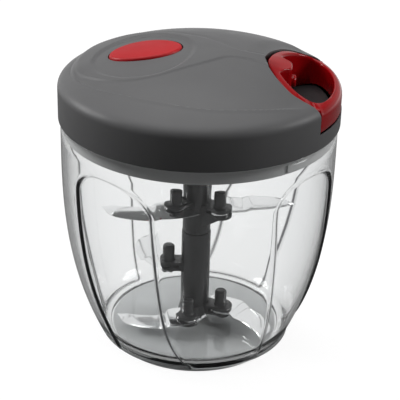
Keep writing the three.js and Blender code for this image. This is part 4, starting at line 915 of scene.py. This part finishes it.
def station(blade, gusset):
    """Arm with a round seat and a domed post, in place."""
    angle = radians(blade["post"])
    low, high = blade["level"] - SEAT_BELOW, blade["level"] + SEAT_ABOVE
    outline = [(0.0, -ARM_HALF), (POST_REACH - 2, -ARM_HALF)]
    outline += [(POST_REACH + SEAT_RADIUS * cos(a), SEAT_RADIUS * sin(a))
                for a in np.linspace(-radians(70), radians(70), 24)]
    outline += [(POST_REACH - 2, ARM_HALF), (0.0, ARM_HALF)]
    parts = [moved(slab(outline, bottom, top, 0.45), turn=angle)
             for bottom, top in ((low, blade["level"] - SEAT_GAP), (blade["level"] + SEAT_GAP, high))]
    core = [(0.0, -ARM_HALF), (ARM_CORE, -ARM_HALF), (ARM_CORE, ARM_HALF), (0.0, ARM_HALF)]
    parts.append(moved(slab(core, low, high, 0.2, 2), turn=angle))
    post = eased([(0.0, low + 0.5), (POST_SHANK, low + 0.5), (POST_SHANK, high - 0.6),
                  (POST_COLLAR, high - 0.6), (POST_COLLAR, high + 0.3, 0.5), (POST_RADIUS, high + 1.0, 0.3),
                  (POST_RADIUS, high + POST_HEIGHT, 2.2), (0.0, high + POST_HEIGHT)], 6)
    parts.append(moved(spun(post, 40), (POST_REACH * cos(angle), POST_REACH * sin(angle), 0)))
    if gusset:
        corners = [(5.0, low - gusset), (7.0, low - gusset), (16.1, low - 0.1), (16.1, low + 0.8),
                   (5.0, low + 0.8)]
        web = extruded([(x, 0.2 - ARM_HALF, z) for x, z in corners], (0, 2 * ARM_HALF - 0.4, 0))
        parts.append(moved(rounded(web, web.edges[:], 0.4, 2), turn=angle))
    return parts


def stations(unit):
    return [part for name, blade in BLADES.items() if blade["unit"] == unit
            for part in station(blade, GUSSETS.get(name, 0))]


def make_spindles():
    """Lower column with a flared foot, and the upper sleeve with its six-sided driving head."""
    column = spun(eased([(0.0, COLUMN_FOOT_Z), (8.2, COLUMN_FOOT_Z, 0.4),
                         (COLUMN_RADIUS, COLUMN_FOOT_Z + 5, 1.0), (COLUMN_RADIUS, SEAM_Z - 0.05, 0.35),
                         (0.0, SEAM_Z - 0.05)], 3), 96)
    to_piece("column_lower", joined(column, *stations("lower")), DARK, "blades", ["lower_spindle"],
             40)
    sleeve = spun(eased([(0.0, SEAM_Z + 0.35), (SLEEVE_RADIUS, SEAM_Z + 0.35, 0.35),
                         (SLEEVE_RADIUS, SLEEVE_TOP_Z, 0.4), (0.0, SLEEVE_TOP_Z)], 3), 96)
    head = spun([(0.0, SLEEVE_TOP_Z - 2), (HEAD_RADIUS, SLEEVE_TOP_Z - 2), (HEAD_RADIUS, HEAD_TOP_Z - 1.6),
                 (HEAD_RADIUS - 1.6, HEAD_TOP_Z), (0.0, HEAD_TOP_Z)], 6)
    to_piece("column_upper", joined(sleeve, head, *stations("upper")), DARK, "blades", ["upper_spindle"],
             40)


# Lid

def dome(radius):
    return LID_CROWN_Z - DOME_DROP * (radius / LID_RADIUS) ** DOME_CURVE


ROLL_RADIUS = LID_RADIUS - 3.5
ROLL_Z = dome(ROLL_RADIUS)
SKIRT_TOP_Z = ROLL_Z - 4.9


def roll_place(t):
    """Place on the rounded edge, from the skirt (0) to the dome (1)."""
    return bend(LID_RADIUS, LID_RADIUS, ROLL_RADIUS, t), bend(SKIRT_TOP_Z, ROLL_Z - 1.96, ROLL_Z, t)


def lid_surface(radius):
    if radius < ROLL_RADIUS:
        return dome(radius)
    return roll_place(sqrt(max(0, LID_RADIUS - radius) / (LID_RADIUS - ROLL_RADIUS)))[1]


# Lines of the lid's top in plan: the plate's front and back edges, its inner crease and the button's dish
FRONT_LINE = [(68, -30), (56, -33.2), (48.3, -36.2), (41.4, -40.2), (33.6, -44.4), (25.4, -47.8), (17, -50.4),
              (8.6, -51.7), (0, -51.4), (-9, -49.8), (-17, -47.6), (-25.9, -43.8), (-35.3, -38.7),
              (-42.5, -33.6), (-48.6, -27.4), (-53.4, -20.6)]
BACK_LINE = [(-57.2, -11.4), (-58.6, -2), (-58.2, 7), (-56, 15), (-51.5, 22), (-44.6, 26.8), (-36, 28.8),
             (-26, 27.6), (-16, 23.8), (-8, 19.8), (-1.5, 17.0), (2.7, 14.7), (7, 11.1), (11.9, 6.5),
             (16.1, 3.2), (20.1, 1.2), (26.7, 0.3), (34, 0.2)]
CREASE_LINE = [(-60, 2), (-54, -15), (-47, -23), (-40.5, -28), (-33.5, -31), (-27, -32), (-21, -31.2),
               (-15, -29.1), (-10.4, -26.3), (-6.3, -23.6), (-1.1, -19.7), (3.6, -16.1), (8.3, -11.8),
               (11.9, -8.9), (16.9, -8.1), (22.1, -8.9), (27.2, -9.7), (33.8, -12), (42, -6), (42, 12),
               (20, 16), (0, 32), (-30, 44), (-62, 26)]
DISH_LINE = [(-48.8, -10.4), (-49.3, -4.2), (-47.9, 3.0), (-44.5, 9.8), (-40.5, 14.4), (-36.3, 17.6),
             (-30.6, 20.1), (-24.6, 20.7), (-17.8, 19.3), (-10.8, 15.7), (-5.9, 10.9), (-3.1, 5.0),
             (-2.3, -1.5), (-3, -9), (-5.4, -16.8), (-9.6, -23.4), (-15.1, -27.9), (-21.0, -30.1),
             (-27.2, -30.3), (-33.7, -28.7), (-40.7, -24.3), (-45.5, -18.5)]
PLATE_EDGE = smooth_loop(FRONT_LINE + BACK_LINE + [(48, -2), (58, -14)], 300)
INNER_CREASE = smooth_loop(CREASE_LINE, 200)
DISH = smooth_loop(DISH_LINE, 140)


def oval(margin, count):
    """The button's outline in plan, grown by a margin."""
    angles = np.linspace(0, 2 * pi, count, endpoint=False)
    along = (BUTTON_LENGTH / 2 + margin) * np.cos(angles)
    across = (BUTTON_WIDTH / 2 + margin) * np.sin(angles)
    return np.stack([BUTTON_X + along * cos(BUTTON_TURN) - across * sin(BUTTON_TURN),
                     along * sin(BUTTON_TURN) + across * cos(BUTTON_TURN)], 1)


NOSE_CENTRE_X = 45
NOSE_CURVE = 2 / 1.57


def handle_outline(reach, half_width, rim_half_width, rim_radius):
    """Outline in plan of the ring handle or its pocket: an arc at the rim, then the curve of the nose."""
    rim = asin(rim_half_width / rim_radius)
    points = [(rim_radius * cos(a), rim_radius * sin(a)) for a in np.linspace(-rim, rim, 40)]
    for a in np.linspace(pi / 2, -pi / 2, 90):
        points.append((NOSE_CENTRE_X - reach * abs(cos(a)) ** NOSE_CURVE,
                       half_width * np.sign(a) * abs(sin(a)) ** NOSE_CURVE))
    return np.array(points)


MOUTH = handle_outline(reach=16.5, half_width=30.1, rim_half_width=35.2, rim_radius=70)

# Heights over the plain dome
PLATE_FRONT = 2.0
PLATE_BACK = -0.7
CREASE_STEP = 0.7
DISH_DEPTH = 1.15
REAR_RISE = 0.8
MOUTH_RISE = -0.8
FRONT_LIP = 0.35
FRONT_GROOVE = 0.8
FRONT_BEAD = 0.25


def rise_over_dome(places):
    """Height of the lid's surface over the plain dome: the sloped plate, its crease and the button's dish."""
    to_front, to_back = distance_to(places, FRONT_LINE), distance_to(places, BACK_LINE)
    share = to_front / (to_front + to_back)
    edge = inside_depth(places, PLATE_EDGE)
    plate = (PLATE_FRONT * share ** 1.2 + PLATE_BACK) * ease(edge + 0.5)
    groove = share * (FRONT_LIP * swell(edge - 0.7, 0.5) - FRONT_GROOVE * swell(edge + 0.6, 0.5))
    bead = FRONT_BEAD * (1 - share) * swell(edge + 0.5, 0.9)
    step = CREASE_STEP * ease(inside_depth(places, INNER_CREASE) / 1.3 + 0.5) * ease(edge / 3)
    bowl = -DISH_DEPTH * ease(inside_depth(places, DISH) / 3.0 + 0.2)
    rear = REAR_RISE * ease((places[:, 1] - 4) / 26) * ease(-edge / 6)
    rise = plate + groove + bead + step + bowl + rear
    # Behind the handle the surface comes down to the pocket's edge
    beside = np.where(places[:, 1] > 0, ease(1 + inside_depth(places, MOUTH) / 10), 0)
    return rise + (MOUTH_RISE - rise) * beside


LEDGE_Z = 119.6
LEDGE_RADIUS = 60.0
RELIEF_FADE = 6.5
TUB_BELOW_LID = 1.6
# Height past the lid that cutters reach
OVER_LID_Z = 160


def make_lid():
    """Lid shell: skirt, rolled edge and relieved dome, less the handle's pocket and the button's hole."""
    skirt_bore = LID_RADIUS - SKIRT_WALL
    under = [(r, dome(r) - LID_WALL) for r in np.linspace(0, ROLL_RADIUS - 1.2, 14)]
    inner = [(skirt_bore, ROLL_Z - 6.5), (skirt_bore, POCKET_FLOOR_Z), (LEDGE_RADIUS, POCKET_FLOOR_Z),
             (LEDGE_RADIUS, LEDGE_Z), (skirt_bore, LEDGE_Z)]
    skirt = eased([(skirt_bore, LID_EDGE_Z + 6), (skirt_bore, LID_EDGE_Z, 0.3), (LID_RADIUS, LID_EDGE_Z, 0.5),
                   (LID_RADIUS, SKIRT_TOP_Z)])[1:-1]
    roll = [roll_place(t) for t in np.linspace(0, 1, 12)]
    top = [(r, dome(r)) for r in np.linspace(ROLL_RADIUS, 0, 124)[1:]]
    bm = spun(under + inner + skirt + roll + top, 420)
    verts = [v for v in bm.verts
             if v.co.xy.length < ROLL_RADIUS + 0.1 and v.co.z > dome(v.co.xy.length) - 0.5]
    places = np.array([(v.co.x, v.co.y) for v in verts])
    fade = ease((ROLL_RADIUS - np.hypot(*places.T)) / RELIEF_FADE)
    for v, lift in zip(verts, rise_over_dome(places) * fade):
        v.co.z += lift
    lid = cut_away(bm, slab(MOUTH, POCKET_FLOOR_Z, OVER_LID_Z), slab(oval(BUTTON_GAP, 72), 132, OVER_LID_Z))
    to_piece("lid_shell", lid, GREY, "lid", ["lid_cover"], 34)


def make_pocket():
    """Tub under the mouth of the lid, where the ring handle parks."""
    outline = handle_outline(reach=18.3, half_width=31.9, rim_half_width=35.0, rim_radius=64.6)
    bm = cut_away(slab(outline, LEDGE_Z, OVER_LID_Z), slab(MOUTH, POCKET_FLOOR_Z, OVER_LID_Z + 10))
    for v in bm.verts:
        if v.co.z > OVER_LID_Z - 10:
            v.co.z = lid_surface(v.co.xy.length) - TUB_BELOW_LID
    to_piece("handle_pocket", cut_away(bm, bore(2.8, 12, 27.5)), NYLON, "lid", (), 34)


# Half of the finger hole's outline, from the rim round to the tongue's nose
HOLE_HALF = [(60.6, 0), (60.4, 6.0), (59.7, 11.5), (58.5, 16.5), (56.9, 21.0), (54.9, 24.6), (52.4, 26.7),
             (49.3, 27.4), (45.2, 25.6), (42.0, 22.1), (39.0, 17.4), (37.2, 13.4), (36.5, 10.4), (37.6, 8.0),
             (39.0, 6.2), (40.4, 5.0), (41.3, 3.4), (41.6, 1.6)]
HANDLE_POINTS = 260
HANDLE_DROP = 1.05
HANDLE_FLAT_RADIUS = 61.5
HANDLE_CHAMFER = 0.6
OUTER_LEVELS = (124.5, 127.5)
INNER_LEVELS = (132.0, 127.0)
# Rounding and drop of the outer edge, and how much more they are at the rim
EDGE_ROUNDING, RIM_ROUNDING = 1.0, 2.2
EDGE_DROP, RIM_DROP = 1.2, 3.2
HOLE_ROUNDING = 1.1
HOLE_DROP = 1.3
TONGUE_RISE = 0.5
TONGUE_START_X = 33
TONGUE_NOSE_X = 43
TONGUE_HALF = 5
STUB_RADIUS = 2.9
KNOT_BORE = 2.8


def by_run(outline):
    """The handle's points evenly along an outline, from its place on the +X axis."""
    fine = evenly(np.asarray(outline), 3000)
    if np.sum(fine[:, 0] * np.roll(fine[:, 1], -1) - np.roll(fine[:, 0], -1) * fine[:, 1]) < 0:
        fine = fine[::-1]
    first = np.argmin(np.abs(fine[:, 1]) + 100 * (fine[:, 0] < 50))
    return evenly(np.roll(fine, -first, axis=0), HANDLE_POINTS)


def make_handle():
    """Ring handle: a deep D-shaped band whose top follows the lid, with a tongue over the cord's knot."""
    outer = by_run(handle_outline(reach=14.7, half_width=29.5, rim_half_width=32.9, rim_radius=64.7))
    inner = by_run(smooth_loop(HOLE_HALF + [(41.65, 0)] + [(x, -y) for x, y in HOLE_HALF[:0:-1]], 1600))
    width = np.linalg.norm(inner - outer, axis=1)
    rim = np.hypot(*outer.T) > 64
    rim_share = np.convolve(np.r_[rim[-4:], rim, rim[:4]].astype(float), np.ones(9) / 9, "valid")
    roll = EDGE_ROUNDING + RIM_ROUNDING * rim_share
    drop = EDGE_DROP + RIM_DROP * rim_share
    bm = bmesh.new()

    def across(side):
        return outer + (inner - outer) * side[:, None]

    def section(side, height):
        """Loop round the ring at a share of its width, with its heights."""
        return [bm.verts.new((x, y, z)) for (x, y), z in zip(across(side), height)]

    def top_at(side):
        return dome(np.minimum(np.hypot(*across(side).T), HANDLE_FLAT_RADIUS)) - HANDLE_DROP

    zero, one = np.zeros(HANDLE_POINTS), np.ones(HANDLE_POINTS)
    low = zero + HANDLE_LOW_Z
    loops = [section(zero + HANDLE_CHAMFER / width, low), section(zero, low + HANDLE_CHAMFER)]
    for level in OUTER_LEVELS:
        loops.append(section(zero, np.minimum(zero + level, top_at(zero) - drop - 0.3)))
    for t in np.linspace(0, pi / 2, 8):
        loops.append(section(roll / width * (1 - cos(t)), top_at(zero) - drop * (1 - sin(t))))
    inner_roll = np.minimum(HOLE_ROUNDING, width * 0.3)
    for t in np.linspace(pi / 2, 0, 7):
        side = 1 - inner_roll / width * (1 - cos(t))
        loops.append(section(side, top_at(one) - HOLE_DROP * (1 - sin(t))))
    for level in INNER_LEVELS:
        loops.append(section(one, zero + level))
    loops += [section(one, low + HANDLE_CHAMFER), section(one - HANDLE_CHAMFER / width, low)]
    rings = [[bm.edges.new((loop[k], loop[(k + 1) % HANDLE_POINTS])) for k in range(HANDLE_POINTS)]
             for loop in loops]
    for first, second in zip(rings, rings[1:] + rings[:1]):
        bmesh.ops.bridge_loops(bm, edges=first + second)
    bmesh.ops.recalc_face_normals(bm, faces=bm.faces)
    # The tongue rises a little towards its nose
    for v in bm.verts:
        if v.co.z > 134:
            nose = ease((v.co.x - TONGUE_START_X) / 8.5) * (1 - ease((v.co.x - TONGUE_NOSE_X) / 4))
            v.co.z += TONGUE_RISE * nose * (1 - ease((abs(v.co.y) - TONGUE_HALF) / 8))
    stub = spun(eased([(0.0, -5), (STUB_RADIUS, -5), (STUB_RADIUS, 2.6, 1.8), (0.0, 2.6)], 6), 32)
    laid_along_x(stub, (41.0, 0.4, 133.2))
    ring = joined(cut_away(bm, bore(1.4, 8, 34.0), bore(KNOT_BORE, 6, 40.2)), stub)
    to_piece("ring_handle", ring, RED, "handle", ["handle_ring"], 40)


BUTTON_LOW_Z = 136.0
BUTTON_PROUD = 0.95
STEM_LOW_Z = 106.9
STEM_RADIUS = 2.5


def make_button():
    """Oval push button with a crowned top, over its lip, skirt and stem."""
    bm = bmesh.new()
    bmesh.ops.create_circle(bm, cap_ends=True, radius=1, segments=96)
    for v in bm.verts:
        angle = atan2(v.co.y, v.co.x)
        v.co.x, v.co.y = BUTTON_LENGTH / 2 * cos(angle), BUTTON_WIDTH / 2 * sin(angle)
    for thickness in (1.2, 1.6, 2.4, 3.4):
        face = max(bm.faces, key=lambda f: len(f.verts))
        bmesh.ops.inset_region(bm, faces=[face], thickness=thickness, use_even_offset=True)
    grown = bmesh.ops.extrude_edge_only(bm, edges=[e for e in bm.edges if e.is_boundary])
    low = {v for v in grown["geom"] if isinstance(v, bmesh.types.BMVert)}
    moved(bm, (BUTTON_X, 0, 0), BUTTON_TURN)
    for v in bm.verts:
        v.co.z = BUTTON_LOW_Z if v in low else dome(v.co.xy.length) + BUTTON_PROUD
    bmesh.ops.contextual_create(bm, geom=[e for e in bm.edges if e.is_boundary])
    bmesh.ops.recalc_face_normals(bm, faces=bm.faces)
    edge = [e for e in bm.edges
            if all(v.co.z > BUTTON_LOW_Z + 2 for v in e.verts) and e.calc_face_angle(0) > radians(50)]
    bmesh.ops.bevel(bm, geom=edge, offset=1.3, offset_type="OFFSET", segments=5, profile=0.5, affect="EDGES",
                    material=-1)
    lip = slab(oval(BUTTON_LIP, 96), BUTTON_LOW_Z, 137.7, 0.3, 2)
    stem = spun(eased([(0.0, STEM_LOW_Z), (2.6, STEM_LOW_Z), (3.4, STEM_LOW_Z + 1, 0.2),
                       (STEM_RADIUS, STEM_LOW_Z + 1), (STEM_RADIUS, 137.0), (0.0, 137.0)], 2), 32)
    moved(stem, (BUTTON_X, 0, 0))
    to_piece("push_button", joined(bm, lip, stem), RED_BUTTON, "button", ["vent_button"], 45)


PLUG_RADIUS = 59.4
PLUG_BORE = 57.4
PLUG_LOW_Z = 106.7
PLUG_TOP_Z = 117.0
PLATE_TOP_Z = 112.5
GROOVE_RADIUS = 58.2
GROOVE_LOW_Z = 112.4
GROOVE_TOP_Z = 115.2
COLLAR_BORE = 9.0
COLLAR_RADIUS = 11.6
COLLAR_TOP_Z = 115.0
LUG_AZIMUTH = radians(-43)
RIBS = 8


def make_lid_base():
    """Plug of the lid: plate, wall with the seal's groove, collar, and ribs under the plate."""
    profile = eased([(COLLAR_BORE, PLATE_Z, 0.3), (PLUG_BORE, PLATE_Z, 0.6), (PLUG_BORE, PLUG_LOW_Z, 0.5),
                     (PLUG_RADIUS, PLUG_LOW_Z, 0.6), (PLUG_RADIUS, GROOVE_LOW_Z, 0.2),
                     (GROOVE_RADIUS, GROOVE_LOW_Z), (GROOVE_RADIUS, GROOVE_TOP_Z),
                     (PLUG_RADIUS, GROOVE_TOP_Z, 0.2), (PLUG_RADIUS, PLUG_TOP_Z, 0.5),
                     (PLUG_BORE, PLUG_TOP_Z, 0.5), (PLUG_BORE, PLATE_TOP_Z), (COLLAR_RADIUS, PLATE_TOP_Z),
                     (COLLAR_RADIUS, COLLAR_TOP_Z, 0.3), (COLLAR_BORE, COLLAR_TOP_Z, 0.3)], 3)
    parts = [spun(profile, 240, closed=True)]
    lug = [(57.6, -3.25), (60.0, -3.25), (60.0, 3.25), (57.6, 3.25)]
    for k in range(2):
        parts.append(moved(slab(lug, 107.95, 111.15, 0.5), turn=LUG_AZIMUTH + k * pi))
    tube = spun(eased([(3.3, PLATE_Z), (4.6, PLATE_Z), (4.6, 126.0, 0.3), (3.3, 126.0, 0.3)], 3), 40,
                closed=True)
    parts.append(moved(tube, (BUTTON_X, 0, 0)))
    rib = [(11.0, -0.8), (57.6, -0.8), (57.6, 0.8), (11.0, 0.8)]
    for k in range(RIBS):
        parts.append(moved(slab(rib, 109.3, 110.7, 0.25, 2), turn=(k + 0.5) * 2 * pi / RIBS))
    to_piece("lid_plug", joined(*parts), PLUG_GREY_PAINTED_LIGHT, "lid", ["lid_base"], 40)


# Cord, reel and springs

WINDING_RADIUS = 17.6
WINDING_TURNS = 4.9
WINDING_LOW_Z = 117.4
DRUM_RADIUS = 16.5
FLANGE_RADIUS = 19.8
HOUSING_RADIUS = 14.7
HOUSING_LOW_Z = 119.5
COIL_RADIUS = 3.85
COIL_WIRE = 0.42
COIL_TURNS = 6


def tube_along(points, radius, sides=4):
    """Tube of a bevelled curve, as a mesh with its own UV map."""
    curve = bpy.data.curves.new("run", "CURVE")
    curve.dimensions = "3D"
    curve.bevel_depth = radius * MM
    curve.bevel_resolution = sides
    curve.use_fill_caps = True
    spline = curve.splines.new("POLY")
    spline.points.add(len(points) - 1)
    for point, place in zip(spline.points, points):
        point.co = (place[0] * MM, place[1] * MM, place[2] * MM, 1)
    thing = bpy.data.objects.new("run", curve)
    bpy.context.scene.collection.objects.link(thing)
    bpy.context.view_layer.update()
    mesh = bpy.data.meshes.new_from_object(thing)
    bpy.data.objects.remove(thing)
    bpy.data.curves.remove(curve)
    return mesh


def make_cord():
    """The cord's turns on the drum, and its run from there through the guide to the knot in the handle."""
    leave = -np.arccos(WINDING_RADIUS / GUIDE_X)
    pitch = (CORD_Z - CORD_RADIUS - WINDING_LOW_Z) / WINDING_TURNS
    wound = []
    for t in np.linspace(0, 1, int(WINDING_TURNS * 48)):
        left = WINDING_TURNS * (1 - t)
        angle = leave - left * 2 * pi
        wound.append((WINDING_RADIUS * cos(angle), WINDING_RADIUS * sin(angle), CORD_Z - left * pitch))
    dress("wound_cord", tube_along(wound, CORD_RADIUS), BRAID, "reel", ["cord_winding"], 60)
    start = np.array((WINDING_RADIUS * cos(leave), WINDING_RADIUS * sin(leave), CORD_Z))
    guide = np.array((GUIDE_X, 0.0, CORD_Z))
    run = [tuple(start + (guide - start) * t) for t in np.linspace(0.12, 0.9, 8)]
    run += [(24.6, -0.35, CORD_Z), (25.2, -0.08, CORD_Z)]
    run += [(x, 0.0, CORD_Z) for x in np.linspace(25.8, 38.6, 26)]
    knot = spun(eased([(0.0, -1.6), (1.3, -1.6, 0.5), (2.2, -0.9, 0.7), (2.2, 0.9, 0.7), (1.3, 1.6, 0.5),
                       (0.0, 1.6)]), 28)
    laid_along_x(knot, (38.1, 0, CORD_Z))
    bmesh.ops.scale(knot, vec=(MM, MM, MM), verts=knot.verts)
    knot.from_mesh(tube_along(run, CORD_RADIUS))
    whole = bpy.data.meshes.new("pull_cord")
    knot.to_mesh(whole)
    knot.free()
    cord = dress("pull_cord", whole, BRAID, None, ["cord_lead", "cord_end"], 60)
    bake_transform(cord)


def make_springs():
    """Coil spring under the button, built at one length; nothing here flattens it as the button goes down."""
    low, high = 126.3 + COIL_WIRE, 140.7 - COIL_WIRE
    turn = 2 * pi * COIL_TURNS
    coil = [(BUTTON_X + COIL_RADIUS * cos(a), COIL_RADIUS * sin(a), low + (high - low) * a / turn)
            for a in np.linspace(0, turn, COIL_TURNS * 28)]
    mesh = tube_along(coil, COIL_WIRE, sides=3)
    spring = dress("button_coil", mesh, SPRING, "lid", ["button_spring"], 60)
    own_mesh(spring)


def make_reel():
    """Drum with its two flanges, the hollow for the return spring, and the socket below."""
    profile = eased([(0.0, 104.5), (8.5, 104.5, 0.5), (8.5, 115.3, 0.3), (FLANGE_RADIUS, 115.3, 0.4),
                     (FLANGE_RADIUS, 117.1, 0.4), (DRUM_RADIUS, 117.1), (DRUM_RADIUS, 129.9),
                     (FLANGE_RADIUS, 129.9, 0.4), (FLANGE_RADIUS, 131.7, 0.4), (18.5, 131.7), (18.5, 131.15),
                     (HOUSING_RADIUS, 131.15, 0.3), (HOUSING_RADIUS, HOUSING_LOW_Z), (0.0, HOUSING_LOW_Z)], 3)
    socket = spun([(0.0, 100.0), (5.7, 100.0), (5.7, 114.4), (0.0, 114.4)], 6)
    to_piece("cord_reel", cut_away(spun(profile, 120), socket), NYLON, "reel", ["reel"], 40)


# Pieces that keep their CAD solid's shape, with merged faces and eased edges

def refine(node, name, material, body, width):
    """Copy of a CAD solid with its faces merged and its edges eased."""
    bm = bmesh.new()
    bm.from_mesh(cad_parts[node].data)
    bmesh.ops.remove_doubles(bm, verts=bm.verts, dist=1e-6)
    bmesh.ops.dissolve_limit(bm, angle_limit=radians(1), verts=bm.verts, edges=bm.edges)
    mesh = bpy.data.meshes.new(name)
    bm.to_mesh(mesh)
    bm.free()
    piece = dress(name, mesh, material, body, [node], 30)
    if width:
        bevel = piece.modifiers.new("eased_edges", "BEVEL")
        bevel.width = width * MM
        bevel.segments = 2
        bevel.limit_method = "ANGLE"
        bevel.angle_limit = radians(40)


set_camera()
set_backdrop()
lay_floor()
hang_lamps()
make_bowl()
make_foot()
make_spindles()
for blade_name, blade in BLADES.items():
    make_blade(blade_name, blade)
make_lid()
make_pocket()
make_handle()
make_button()
make_lid_base()
make_cord()
make_springs()
make_reel()
refine("spindle_pin", "pin", PIN_STEEL, "bowl", 0.2)
refine("lid_seal", "seal_ring", RUBBER, "lid", 0)
refine("reel_axle", "axle", PIN_STEEL, "lid", 0.2)
refine("reel_spring", "strip_spring", SPRING, "lid", 0)
refine("cord_guide", "guide_bush", NYLON, "lid", 0.15)
refine("reel_cap", "cap_disc", NYLON, "reel", 0.15)
refine("vent_valve", "valve_disc", RUBBER, "button", 0.25)
for index in range(1, 5):
    refine(f"lid_screw_{index}", f"screw_{index}", PIN_STEEL, "lid", 0.12)
